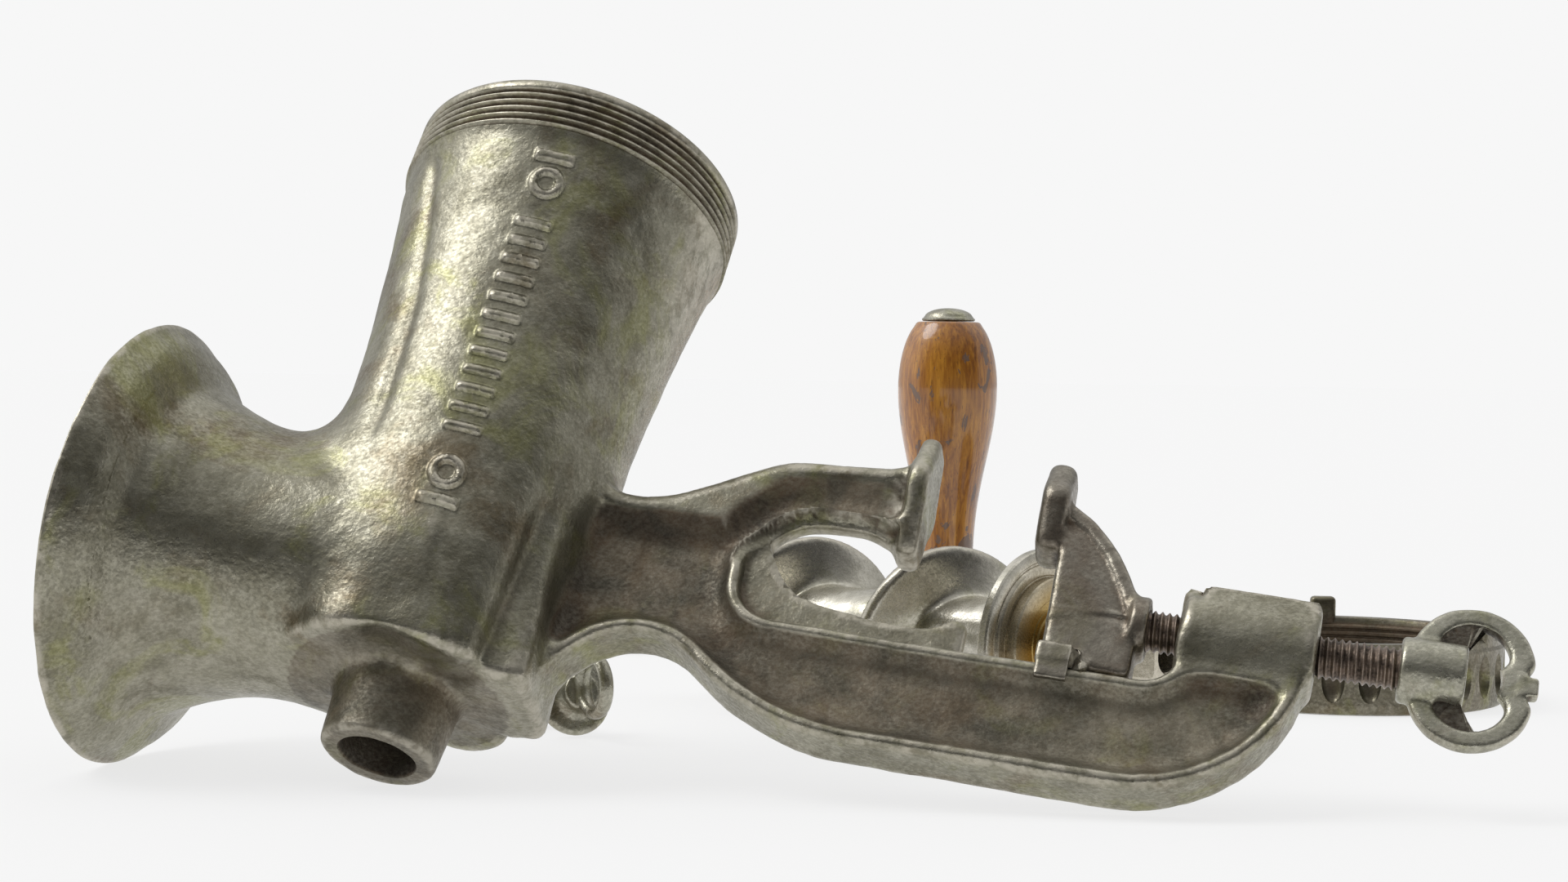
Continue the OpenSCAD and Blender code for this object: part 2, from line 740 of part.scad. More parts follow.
module thumb_head() {
    neck = 4.6;
    color(bright_iron) thumb_laid() difference() {
        union() {
            about_z([
                [0, 0], [collar_r - 0.5, 0], [collar_r, 0.5], [collar_r, collar_t - 0.8],
                [collar_r - 0.8, collar_t], [5.6, collar_t + 0.8], [4.8, collar_t + neck],
                [0, collar_t + neck]
            ]);
            translate([0, 0, collar_t + neck - 1.6 + eye_r]) rotate([90, 0, 0])
                cylinder(h = eye_t, r = eye_r, center = true);
        }
        translate([0, 0, collar_t + neck - 1.6 + eye_r]) rotate([90, 0, 0])
            cylinder(h = eye_t + 2, r = eye_r - 3, center = true);
        translate([0, 0, -1]) cylinder(h = 5, r = thumb_r + pin_fit);
    }
}

module thumb_thread() {
    pitch = 1.6;
    count = floor((thumb_len - 4) / pitch);
    color(steel) thumb_laid() about_z([
        [0, 4], [thumb_r, 4], [thumb_r, -1.5],
        for (i = [0 : count - 1]) each [
            [thumb_r, -2 - i * pitch], [thumb_r - 0.6, -2 - (i + 0.5) * pitch]
        ],
        [thumb_r, -2 - count * pitch], [thumb_r - 0.7, -thumb_len], [0, -thumb_len]
    ]);
}

barrel();
hopper();
clamp_frame();
plate_key();
sliding_jaw();
jaw_pin();
clamp_screw();
thumb_turn();
feed_flights();
feed_shank();
knife_stud();
knife();
cutter_plate();
ring_nut();
crank_arm();
grip_bolt();
grip_washer();
wood_grip();
thumb_head();
thumb_thread();
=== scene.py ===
"""Looks of a hand crank meat grinder that lies taken apart on a table.

Pieces are modelled in millimetres about the world's origin, each in the frame that suits it,
and are then laid in the row's frame, in metres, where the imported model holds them.
"""

import json
import logging
import math
from contextlib import contextmanager
from dataclasses import dataclass, field
from enum import Enum
from typing import Callable, Iterator, Sequence

import bpy
import numpy as np
from mathutils import Matrix, Vector


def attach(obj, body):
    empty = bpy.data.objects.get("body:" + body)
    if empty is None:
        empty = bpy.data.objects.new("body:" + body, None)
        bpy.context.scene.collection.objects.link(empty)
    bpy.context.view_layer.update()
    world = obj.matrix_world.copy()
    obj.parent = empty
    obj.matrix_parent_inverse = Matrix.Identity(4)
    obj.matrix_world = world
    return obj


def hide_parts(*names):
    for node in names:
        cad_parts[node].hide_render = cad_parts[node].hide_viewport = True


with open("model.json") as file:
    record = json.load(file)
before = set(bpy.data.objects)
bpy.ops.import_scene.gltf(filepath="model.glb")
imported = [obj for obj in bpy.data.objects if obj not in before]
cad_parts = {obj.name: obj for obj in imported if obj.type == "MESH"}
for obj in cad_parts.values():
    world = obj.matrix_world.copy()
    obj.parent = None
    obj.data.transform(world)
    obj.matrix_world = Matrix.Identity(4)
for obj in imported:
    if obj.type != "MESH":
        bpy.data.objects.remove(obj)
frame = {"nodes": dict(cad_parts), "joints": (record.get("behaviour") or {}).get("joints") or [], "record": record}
log = logging.getLogger("grinder")
MM = 0.001
ABOUT_X = Matrix.Rotation(math.pi / 2, 4, "Y")
ABOUT_Y = Matrix.Rotation(math.pi / 2, 4, "X")
Points = Sequence[Sequence[float]]
Colour = tuple[float, float, float]
Form = Callable[[np.ndarray], np.ndarray]
Thing = bpy.types.Object
Socket = bpy.types.NodeSocket


# ---------------------------------------------------------------- outlines

def corner_arc(a: np.ndarray, b: np.ndarray, c: np.ndarray, radius: float, steps: int) -> list:
    """Round the corner b between a and c.

    Args:
        a: Point before the corner.
        b: The corner.
        c: Point after the corner.
        radius: Radius of the arc.
        steps: Number of chords in the arc.

    Returns:
        Points of the arc in order.
    """
    u, v = (a - b) / np.linalg.norm(a - b), (c - b) / np.linalg.norm(c - b)
    half = math.acos(float(np.clip(u @ v, -1, 1))) / 2
    centre = b + (u + v) / np.linalg.norm(u + v) * radius / math.sin(half)
    start = b + u * radius / math.tan(half) - centre
    way = math.copysign(1, v[0] * u[1] - v[1] * u[0])
    first = math.atan2(start[1], start[0])
    angles = first + way * (math.pi - 2 * half) * np.arange(steps + 1) / steps
    return [centre + radius * np.array([math.cos(t), math.sin(t)]) for t in angles]


def rounded(corners: Points, steps: int = 10) -> np.ndarray:
    """Outline from corners that each give two coordinates and a radius.

    Args:
        corners: Corners in order.
        steps: Chords in each rounded corner.

    Returns:
        Points of the outline.
    """
    spots = [np.array(c[:2], float) for c in corners]
    out: list = []
    for i, corner in enumerate(corners):
        if corner[2] == 0:
            out.append(spots[i])
        else:
            out += corner_arc(spots[i - 1], spots[i], spots[(i + 1) % len(spots)], corner[2], steps)
    return np.array(out)


def swept(points: Points, between: int = 4) -> list:
    """Smooth curve through points, by Catmull and Rom's rule.

    Args:
        points: Points that the curve passes.
        between: Steps from one point to the next.

    Returns:
        Points of the curve.
    """
    p = np.array(points, float)
    p = np.vstack([2 * p[0] - p[1], p, 2 * p[-1] - p[-2]])
    out = []
    for i in range(1, len(p) - 2):
        for t in np.arange(between) / between:
            a, b, c, d = p[i - 1], p[i], p[i + 1], p[i + 2]
            out.append(0.5 * (2 * b + (c - a) * t + (2 * a - 5 * b + 4 * c - d) * t ** 2
                              + (3 * b - a - 3 * c + d) * t ** 3))
    return [tuple(q) for q in (*out, p[-2])]


# ---------------------------------------------------------------- cast shapes

SCATTER = np.array([12.9898, 78.233, 37.719])
SPREAD = 43758.5453


def ease(value: np.ndarray, low: float, high: float) -> np.ndarray:
    """Smooth step of value from 0 at low to 1 at high."""
    t = np.clip((value - low) / (high - low), 0, 1)
    return t * t * (3 - 2 * t)


def blend(a: np.ndarray, b: np.ndarray, k: float | np.ndarray) -> np.ndarray:
    """Join two solids' distances with a fillet about k wide."""
    h = np.maximum(k - np.abs(a - b), 0) / k
    return np.minimum(a, b) - h * h * k / 4


def trim(a: np.ndarray, b: np.ndarray, k: float) -> np.ndarray:
    """Common part of two solids' distances with its edge rounded about k wide."""
    return -blend(-a, -b, k)


def past(value: np.ndarray, low: float, high: float) -> np.ndarray:
    """Distance past a pair of flat faces, negative between them."""
    return np.abs(value - (low + high) / 2) - (high - low) / 2


def block(a: np.ndarray, b: np.ndarray, c: np.ndarray, k: float) -> np.ndarray:
    """Distance to a block from those past each pair of its faces, with edges rounded about k wide."""
    return trim(trim(a, b, k), c, k)


def mottle(p: np.ndarray, size: float, seed: float) -> np.ndarray:
    """Soft lumps of a given size, from -1 to 1.

    Args:
        p: Points, one in each row.
        size: Distance between lumps.
        seed: Shifts the pattern.

    Returns:
        One value for each point.
    """
    q = p / size + seed
    cell = np.floor(q)
    f = q - cell
    f = f * f * (3 - 2 * f)
    out = np.zeros(len(p))
    for corner in np.ndindex(2, 2, 2):
        c = np.array(corner)
        hashed = np.sin((cell + c) @ SCATTER) * SPREAD
        weight = np.prod(np.where(c == 1, f, 1 - f), axis=1)
        out += weight * (2 * (hashed - np.floor(hashed)) - 1)
    return out


def lumps(p: np.ndarray, *layers: tuple[float, float, float]) -> np.ndarray:
    """How far a cast skin stands out, from the height, size and seed of each layer of lumps."""
    return sum(height * mottle(p, size, seed) for height, size, seed in layers)


class Section:
    """Signed distance to a flat closed outline, read from a fine grid."""

    def __init__(self, outline: Points, pitch: float = 0.5, margin: float = 15.0) -> None:
        """Sample the distance.

        Args:
            outline: Points of the outline in order.
            pitch: Grid spacing.
            margin: How far the grid reaches past the outline.
        """
        pts = np.array(outline, float)
        self.low, self.pitch = pts.min(0) - margin, pitch
        shape = np.ceil((pts.max(0) + margin - self.low) / pitch).astype(int) + 1
        u, v = np.meshgrid(self.low[0] + pitch * np.arange(shape[0]),
                           self.low[1] + pitch * np.arange(shape[1]), indexing="ij")
        best, inside = np.full(u.shape, 1e9), np.zeros(u.shape, bool)
        for (ax, ay), (bx, by) in zip(pts, np.roll(pts, -1, 0)):
            dx, dy = bx - ax, by - ay
            t = np.clip(((u - ax) * dx + (v - ay) * dy) / max(dx * dx + dy * dy, 1e-12), 0, 1)
            best = np.minimum(best, (u - ax - t * dx) ** 2 + (v - ay - t * dy) ** 2)
            if ay != by:
                inside ^= ((ay > v) != (by > v)) & (u < dx * (v - ay) / dy + ax)
        self.grid = np.where(inside, -1, 1) * np.sqrt(best)

    def at(self, u: np.ndarray, v: np.ndarray) -> np.ndarray:
        """Read the distance.

        Args:
            u: First coordinate of each point.
            v: Second coordinate of each point.

        Returns:
            The distances, negative inside.
        """
        nx, ny = self.grid.shape
        s = np.clip((u - self.low[0]) / self.pitch, 0, nx - 1.001)
        t = np.clip((v - self.low[1]) / self.pitch, 0, ny - 1.001)
        i, j = s.astype(int), t.astype(int)
        s, t, g = s - i, t - j, self.grid
        return ((g[i, j] * (1 - s) + g[i + 1, j] * s) * (1 - t)
                + (g[i, j + 1] * (1 - s) + g[i + 1, j + 1] * s) * t)


# ---------------------------------------------------------------- modelling steps

def shift(x: float, z: float = 0.0) -> Matrix:
    """Move along X and Z."""
    return Matrix.Translation((x, 0, z))


def rod(r: float, low: float, high: float) -> list:
    """Profile of a plain rod between two heights."""
    return [(0, low), (r, low), (r, high), (0, high)]


class Bench:
    """Modelling steps that the pieces are made with, in millimetres about the origin."""

    def take(self, *objects: Thing) -> None:
        """Select some objects and nothing else.

        Args:
            *objects: What is selected, the last of them active.
        """
        bpy.ops.object.select_all(action="DESELECT")
        for obj in objects:
            obj.select_set(True)
        bpy.context.view_layer.objects.active = objects[-1]

    @contextmanager
    def editing(self, obj: Thing) -> Iterator[None]:
        """Hold one object in edit mode with everything in it selected.

        Args:
            obj: The object.

        Returns:
            A context that ends edit mode.
        """
        self.take(obj)
        bpy.ops.object.mode_set(mode="EDIT")
        bpy.ops.mesh.select_all(action="SELECT")
        yield
        bpy.ops.object.mode_set(mode="OBJECT")

    def chain(self, name: str, points: Points, closed: bool = False) -> Thing:
        """Draw edges through points by extruding one vertex.

        Args:
            name: Name of the object.
            points: Points in space.
            closed: Whether the last point is joined to the first.

        Returns:
            The object.
        """
        bpy.ops.mesh.primitive_plane_add(size=1)
        obj = bpy.context.object
        obj.name = name
        with self.editing(obj):
            bpy.ops.mesh.merge(type="CENTER")
            bpy.ops.transform.translate(value=Vector(points[0]))
            for a, b in zip(points, points[1:]):
                bpy.ops.mesh.extrude_vertices_move(
                    TRANSFORM_OT_translate={"value": Vector(b) - Vector(a)})
            if closed:
                bpy.ops.mesh.select_all(action="SELECT")
                bpy.ops.mesh.edge_face_add()
        return obj

    def lathe(self, name: str, profile: Points, segments: int = 96, ring: bool = False,
              pose: Matrix | None = None) -> Thing:
        """Spin a profile of radius and height about +Z.

        Args:
            name: Name of the object.
            profile: Radius and height of each point.
            segments: Steps around.
            ring: Whether the profile closes on itself clear of the axis.
            pose: Where the solid is then moved, if anywhere.

        Returns:
            The closed solid.
        """
        points = [(r, 0.0, z) for r, z in profile]
        if ring:
            points.append(points[0])
        obj = self.chain(name, points)
        with self.editing(obj):
            bpy.ops.mesh.spin(steps=segments, angle=2 * math.pi, center=(0, 0, 0), axis=(0, 0, 1))
        self.weld(obj, 0.002)
        return obj if pose is None else self.turn(obj, pose)

    def slab(self, name: str, outline: Points, low: float, high: float,
             across: str = "y") -> Thing:
        """Extrude a flat outline.

        Args:
            name: Name of the object.
            outline: Points of the outline.
            low: Where it starts along the axis across.
            high: Where it ends.
            across: "y" for an outline in X and Z, "z" for one in X and Y.

        Returns:
            The closed solid.
        """
        along = Vector((0, high - low, 0)) if across == "y" else Vector((0, 0, high - low))
        points = [(a, low, b) if across == "y" else (a, b, low) for a, b in outline]
        obj = self.chain(name, points, closed=True)
        with self.editing(obj):
            bpy.ops.mesh.extrude_region_move(TRANSFORM_OT_translate={"value": along})
            bpy.ops.mesh.select_all(action="SELECT")
            bpy.ops.mesh.normals_make_consistent(inside=False)
        return obj

    def box(self, name: str, low: Sequence[float], high: Sequence[float],
            bevel: float = 0.0) -> Thing:
        """Block between two corners.

        Args:
            name: Name of the object.
            low: Its lowest corner.
            high: Its highest corner.
            bevel: Width of the bevel on its edges.

        Returns:
            The closed solid.
        """
        bpy.ops.mesh.primitive_cube_add(size=1)
        obj = bpy.context.object
        obj.name = name
        size = [h - l for l, h in zip(low, high)]
        self.turn(obj, Matrix.Translation([(l + h) / 2 for l, h in zip(low, high)])
                  @ Matrix.Diagonal((*size, 1)))
        if bevel:
            with self.editing(obj):
                bpy.ops.mesh.bevel(offset=bevel, segments=3, affect="EDGES")
        return obj

    def helix(self, name: str, tooth: Points, pitch: float, turns: int,
              start: float, steps: int = 36) -> Thing:
        """Thread made by screwing one tooth's profile up the Z axis.

        Args:
            name: Name of the object.
            tooth: Radius and height of one tooth over one pitch.
            pitch: Advance in one turn.
            turns: Number of turns.
            start: Height of its start.
            steps: Steps in one turn.

        Returns:
            The thread's skin with its ends filled.
        """
        gap = 0.004
        obj = self.chain(name, [(r, 0.0, z + start) for r, z in tooth])
        self.modify(obj, "SCREW", axis="Z", angle=2 * math.pi, screw_offset=pitch, iterations=turns,
                    steps=steps, render_steps=steps, use_merge_vertices=True, merge_threshold=gap)
        self.weld(obj, gap, fill=True)
        return obj

    def weld(self, obj: Thing, gap: float, fill: bool = False) -> None:
        """Close a skin and turn its faces outward.

        Args:
            obj: The skin.
            gap: Vertices nearer than this become one.
            fill: Whether its holes are filled.
        """
        with self.editing(obj):
            bpy.ops.mesh.remove_doubles(threshold=gap)
            if fill:
                bpy.ops.mesh.fill_holes(sides=0)
            bpy.ops.mesh.normals_make_consistent(inside=False)

    def turn(self, obj: Thing, matrix: Matrix) -> Thing:
        """Move the mesh itself by a matrix and return the object."""
        obj.data.transform(matrix)
        return obj

    def modify(self, obj: Thing, kind: str, **settings: object) -> Thing:
        """Apply one modifier.

        Args:
            obj: Object that it works on.
            kind: Type of modifier.
            **settings: Its properties.

        Returns:
            The object.
        """
        step = obj.modifiers.new(kind.lower(), kind)
        for name, value in settings.items():
            setattr(step, name, value)
        self.take(obj)
        bpy.ops.object.modifier_apply(modifier=step.name)
        return obj

    def carve(self, obj: Thing, tool: Thing) -> None:
        """Take one solid away from another.

        Args:
            obj: Solid that stays.
            tool: Solid that is used up.
        """
        self.modify(obj, "BOOLEAN", operation="DIFFERENCE", object=tool, solver="MANIFOLD")
        if not obj.data.polygons:
            raise RuntimeError(f"{obj.name} was lost to {tool.name}")
        bpy.data.objects.remove(tool)

    def merge(self, name: str, *objects: Thing) -> Thing:
        """Join objects into one mesh, each keeping its own skin.

        Args:
            name: Name of the mesh's object.
            *objects: What is joined.

        Returns:
            The object.
        """
        self.take(*objects[1:], objects[0])
        bpy.ops.object.join()
        objects[0].name = name
        return objects[0]

    def remesh(self, obj: Thing, voxel: float) -> None:
        """Give overlapping solids one even skin."""
        self.modify(obj, "REMESH", mode="VOXEL", voxel_size=voxel, adaptivity=0.0)

    def relax(self, obj: Thing, times: int, factor: float = 0.5) -> None:
        """Smooth a mesh a number of times."""
        self.modify(obj, "SMOOTH", iterations=times, factor=factor)

    def bevel(self, obj: Thing, width: float, segments: int, angle: float = 40) -> None:
        """Bevel the edges sharper than an angle."""
        self.modify(obj, "BEVEL", width=width, segments=segments, limit_method="ANGLE",
                    angle_limit=math.radians(angle), harden_normals=False)

    def copy_node(self, node: str) -> Thing:
        """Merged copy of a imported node, in millimetres where it lies.

        Args:
            node: Name of the node.

        Returns:
            The copy.
        """
        source = frame["nodes"][node]
        obj = bpy.data.objects.new(node + "_copy", source.data.copy())
        bpy.context.scene.collection.objects.link(obj)
        obj.data.materials.clear()
        self.turn(obj, Matrix.Scale(1 / MM, 4))
        with self.editing(obj):
            bpy.ops.mesh.remove_doubles(threshold=0.005)
            bpy.ops.mesh.dissolve_limited(angle_limit=math.radians(1.5))
        return obj

    def soften(self, obj: Thing, angle: float) -> None:
        """Shade smooth but for edges sharper than an angle."""
        self.take(obj)
        bpy.ops.object.shade_smooth_by_angle(angle=math.radians(angle))

    def cast(self, name: str, parts: Sequence[Thing], voxel: float, form: Form,
             first: tuple[int, float], smooth: int, last: tuple[int, float]) -> Thing:
        """Skin rough solids as one and settle the skin onto a form, in two rounds.

        Args:
            name: Name of the object.
            parts: The rough solids, which are used up.
            voxel: Size of the skin's faces.
            form: Signed distance of points to the form.
            first: Number of moves in the first round and the furthest of each.
            smooth: Smoothing steps after it.
            last: The same as first for the last round.

        Returns:
            The evenly meshed piece.
        """
        obj = self.merge(name, *parts)
        self.remesh(obj, voxel)
        self.settle(obj, form, *first)
        self.relax(obj, smooth)
        self.settle(obj, form, *last)
        return obj

    def settle(self, obj: Thing, form: Form, steps: int, reach: float) -> None:
        """Move a mesh's vertices onto a form.

        Args:
            obj: Mesh that is already near the form.
            form: Signed distance of points to the form.
            steps: Number of moves.
            reach: Furthest that one move may go.
        """
        p, probe, least_slope = self.points(obj), 0.3, 0.2
        for _ in range(steps):
            d = form(p)
            g = np.stack([form(p + probe * axis) - d for axis in np.eye(3)], 1) / probe
            move = -(d / np.clip((g * g).sum(1), least_slope, None))[:, None] * g
            length = np.linalg.norm(move, axis=1, keepdims=True)
            p += move * np.minimum(1, reach / np.maximum(length, 1e-9))
        self.place(obj, p)
        obj.data.update()

    def points(self, obj: Thing, what: str = "co") -> np.ndarray:
        """Read a vector of each vertex of a mesh.

        Args:
            obj: The mesh.
            what: "co" for its place or "normal" for its normal.

        Returns:
            The vectors, one in each row.
        """
        values = np.empty(len(obj.data.vertices) * 3, np.float32)
        obj.data.vertices.foreach_get(what, values)
        return values.reshape(-1, 3).astype(float)

    def place(self, obj: Thing, points: np.ndarray) -> None:
        """Put the vertices of a mesh at points."""
        obj.data.vertices.foreach_set("co", points.astype(np.float32).ravel())

    def mark(self, obj: Thing, name: str, values: np.ndarray) -> None:
        """Write a value for each vertex, for the finishes to read."""
        layer = obj.data.attributes.get(name) or obj.data.attributes.new(name, "FLOAT", "POINT")
        layer.data.foreach_set("value", values.astype(np.float32))

    def marks(self, obj: Thing, name: str) -> np.ndarray:
        """Read what mark has written.

        Args:
            obj: The mesh.
            name: Name of the values.

        Returns:
            One value for each vertex.
        """
        values = np.empty(len(obj.data.vertices), np.float32)
        obj.data.attributes[name].data.foreach_get("value", values)
        return values

    def age(self, obj: Thing, edge: float = 0.25, hollow: float = 2.2,
            near: int = 5, far: int = 60) -> None:
        """Write how far each vertex stands out as an edge and how hollow it is, for the finishes to read.

        Args:
            obj: Evenly meshed piece.
            edge: Bulge over near steps that counts as a fully rubbed edge.
            hollow: Sink over far steps that counts as fully hollow.
            near: Smoothing steps for edges.
            far: Smoothing steps for hollows.
        """
        mesh = obj.data
        p = self.points(obj)
        pairs = np.empty(len(mesh.edges) * 2, np.int32)
        mesh.edges.foreach_get("vertices", pairs)
        a, b = pairs.reshape(-1, 2).T
        normal = self.points(obj, "normal")
        count = np.maximum(np.bincount(a, minlength=len(p)) + np.bincount(b, minlength=len(p)), 1)
        q, out, pull = p.copy(), {}, 0.6
        for step in range(1, far + 1):
            total = np.stack([np.bincount(a, q[b, i], len(p)) + np.bincount(b, q[a, i], len(p))
                              for i in range(3)], 1)
            q = (1 - pull) * q + pull * total / count[:, None]
            if step in (near, far):
                out[step] = ((p - q) * normal).sum(1)
        self.mark(obj, "wear_and_highlight", np.clip(out[near] / edge, 0, 1))
        self.mark(obj, "sunk", np.clip(-out[far] / hollow, 0, 1))


BENCH = Bench()


# ---------------------------------------------------------------- finishes

class Sketch:
    """Builds the nodes of a material or of the sky."""

    def __init__(self, owner: bpy.types.Material | bpy.types.World) -> None:
        """Clear the nodes that are there.

        Args:
            owner: The material or sky.
        """
        self.owner = owner
        owner.use_nodes = True
        self.tree = owner.node_tree
        self.tree.nodes.clear()

    def node(self, kind: str, **inputs: object) -> bpy.types.Node:
        """Add a node and set or link its inputs.

        Args:
            kind: Node type.
            **inputs: Property names, or input names with spaces written as underscores.

        Returns:
            The node.
        """
        node = self.tree.nodes.new(kind)
        for name, value in inputs.items():
            socket = node.inputs.get(name.replace("_", " ")) or node.inputs.get(name)
            if name.startswith("in") and name[2:].isdigit():
                socket = node.inputs[int(name[2:])]
            if socket is None:
                setattr(node, name, value)
            elif isinstance(value, Socket):
                self.tree.links.new(value, socket)
            else:
                socket.default_value = value
        return node

    def place(self, scale: Sequence[float] = (1, 1, 1),
              turn: Sequence[float] = (0, 0, 0)) -> Socket:
        """Object coordinates in millimetres.

        Args:
            scale: Stretch along each axis.
            turn: Turn about each axis in radians.

        Returns:
            The coordinates.
        """
        spot = self.node("ShaderNodeTexCoord").outputs["Object"]
        return self.node("ShaderNodeMapping", Vector=spot, Rotation=turn,
                         Scale=[s / MM for s in scale]).outputs[0]

    def noise(self, where: Socket, scale: float, detail: float = 4,
              rough: float = 0.55, twist: float = 0.0) -> Socket:
        """Noise value with so many lumps in a millimetre."""
        return self.node("ShaderNodeTexNoise", Vector=where, Scale=scale, Detail=detail,
                         Roughness=rough, Distortion=twist).outputs[0]

    def math(self, how: str, a: object, b: object = 0.0) -> Socket:
        """Arithmetic on two values."""
        return self.node("ShaderNodeMath", operation=how, in0=a, in1=b).outputs[0]

    def span(self, value: Socket, low: float, high: float,
             to_low: float = 0.0, to_high: float = 1.0) -> Socket:
        """Map a value's range to another, clamped and smooth."""
        return self.node("ShaderNodeMapRange", interpolation_type="SMOOTHSTEP", Value=value,
                         From_Min=low, From_Max=high, To_Min=to_low, To_Max=to_high).outputs[0]

    def ramp(self, value: Socket, stops: Sequence) -> Socket:
        """Colour of a value.

        Args:
            value: What the ramp reads.
            stops: Pairs of position and colour.

        Returns:
            The colour.
        """
        node = self.node("ShaderNodeValToRGB", in0=value)
        band = node.color_ramp.elements
        while len(band) < len(stops):
            band.new(0.5)
        for element, (spot, colour) in zip(band, stops):
            element.position, element.color = spot, (*colour, 1)
        return node.outputs[0]

    def mix(self, share: object, a: object, b: object,
            how: str = "MIX") -> Socket:
        """Mix two colours.

        Args:
            share: How much of the second there is.
            a: First colour.
            b: Second colour.
            how: Kind of mix.

        Returns:
            The mixed colour.
        """
        a, b = ((*c, 1) if isinstance(c, tuple) else c for c in (a, b))
        return self.node("ShaderNodeMix", data_type="RGBA", blend_type=how, in0=share,
                         in6=a, in7=b).outputs[2]

    def layer(self, name: str) -> Socket:
        """A value that the piece's vertices carry."""
        return self.node("ShaderNodeAttribute", attribute_name=name).outputs["Fac"]

    def bump(self, height: Socket, strength: float, distance: float,
             under: Socket | None = None) -> Socket:
        """Make the surface look uneven.

        Args:
            height: How far each spot stands out.
            strength: Strength of the effect.
            distance: Height of a full step in metres.
            under: Normal that it is laid on, if any.

        Returns:
            The normal.
        """
        node = self.node("ShaderNodeBump", Height=height, Strength=strength, Distance=distance)
        if under is not None:
            self.tree.links.new(under, node.inputs["Normal"])
        return node.outputs[0]

    def finish(self, **inputs: object) -> bpy.types.Material:
        """Close the material with a Principled shader.

        Args:
            **inputs: The shader's inputs, with spaces written as underscores.

        Returns:
            The material.
        """
        shader = self.node("ShaderNodeBsdfPrincipled", **inputs)
        self.node("ShaderNodeOutputMaterial", Surface=shader.outputs[0])
        return self.owner


@dataclass(frozen=True)
class TinFinish:
    """Old hot-dipped tin over cast iron: mottled, mossy in places, with painted shade and soiling in its hollows.
    """

    name: str
    pale: Colour = (0.37, 0.352, 0.272)
    deep: Colour = (0.222, 0.208, 0.150)
    brown: Colour = (0.165, 0.118, 0.060)
    moss: Colour = (0.31, 0.31, 0.115)
    clean: Colour = (0.62, 0.60, 0.51)
    # Near black for the deepest hollows and pockets: painted shade, with some soiling.
    grime_and_shade: Colour = (0.03, 0.022, 0.015)
    rust: Colour = (0.135, 0.09, 0.052)
    # Pale colour of rubbed edges, also used for the casting's painted highlights.
    rub_and_highlight: Colour = (0.52, 0.485, 0.40)
    # Golden tint for the feed screw's painted reflection.
    glow: Colour = (0.42, 0.27, 0.06)
    gloss: tuple[float, float] = (0.27, 0.43)
    metal: float = 0.88
    cleaned: float = 0.28
    mossy: float = 0.54
    stained: float = 0.66
    faint: float = 0.80
    grain: float = 1.0
    amber: bool = False

    def material(self) -> bpy.types.Material:
        """Build the node material.

        Returns:
            The material.
        """
        s = Sketch(bpy.data.materials.new(self.name))
        where = s.place()
        slant = s.place(scale=(0.75, 1.25, 1.0), turn=(0.5, 0.4, 0.8))
        blotch = s.noise(where, 0.075, 7, 0.62, 0.5)
        patch = s.noise(where, 0.24, 5, 0.6, 0.3)
        fine = s.noise(slant, 1.15, 6, 0.68, 0.2)
        colour = s.mix(s.span(blotch, 0.32, 0.68), self.deep, self.pale)
        stain = s.span(s.noise(where, 0.035, 6, 0.62, 0.9), 0.50, 0.70, 0.0, self.stained)
        colour = s.mix(stain, colour, self.brown)
        moss = s.span(s.noise(where, 0.05, 5, 0.6, 1.0), 0.50, 0.68, 0.0, self.mossy)
        colour = s.mix(moss, colour, self.moss)
        clean = s.math("ADD", s.math("MULTIPLY", patch, 0.55), s.math("MULTIPLY", fine, 0.45))
        clean = s.math("MULTIPLY", s.span(clean, 0.42, 0.70), self.cleaned)
        colour = s.mix(clean, colour, self.clean)
        shade = s.span(fine, 0.34, 0.62, self.faint, 1.0)
        colour = s.mix(1.0, colour, s.node("ShaderNodeCombineColor", in0=shade, in1=shade,
                                           in2=shade).outputs[0], "MULTIPLY")
        # Hollows, pockets and bores go from brown to near black by the sunk mark: painted shade in the recesses,
        # with soiling; the deepest get the darkest.
        sunk = s.span(s.layer("sunk"), 0.04, 0.85)
        rusty = s.span(s.layer("sunk"), 0.7, 1.0, 1.0, 0.3)
        dirt_and_shade = s.math("MULTIPLY", s.span(blotch, 0.30, 0.66), rusty)
        dirt_and_shade = s.mix(dirt_and_shade, self.grime_and_shade, self.rust)
        colour = s.mix(s.math("MULTIPLY", sunk, s.span(fine, 0.3, 0.65, 1.0, 0.78)), colour, dirt_and_shade)
        # Rubbed edges are lightened towards a pale colour, and so are the spots that the casting marks as painted
        # highlights.
        wear_and_highlight = s.span(s.layer("wear_and_highlight"), 0.15, 0.9)
        wear_and_highlight = s.math("MULTIPLY", wear_and_highlight, s.span(patch, 0.36, 0.6, 0.1, 0.8))
        colour = s.mix(wear_and_highlight, colour, self.rub_and_highlight)
        # A golden tint where the feed screw's shank is marked: a painted reflection.
        if self.amber:
            colour = s.mix(s.layer("amber"), colour, self.glow)
        rough = s.span(fine, 0.35, 0.65, self.gloss[1], self.gloss[0])
        rough = s.math("ADD", rough, s.math("MULTIPLY", sunk, 0.18))
        normal = s.bump(s.noise(where, 0.16, 3, 0.5), 0.5 * self.grain, 0.00042)
        normal = s.bump(s.noise(where, 0.75, 4, 0.6), 0.6 * self.grain, 0.00026, normal)
        metal = s.span(sunk, 0.0, 1.0, self.metal, 0.45)
        return s.finish(Base_Color=colour, Metallic=metal, Roughness=rough, Normal=normal)


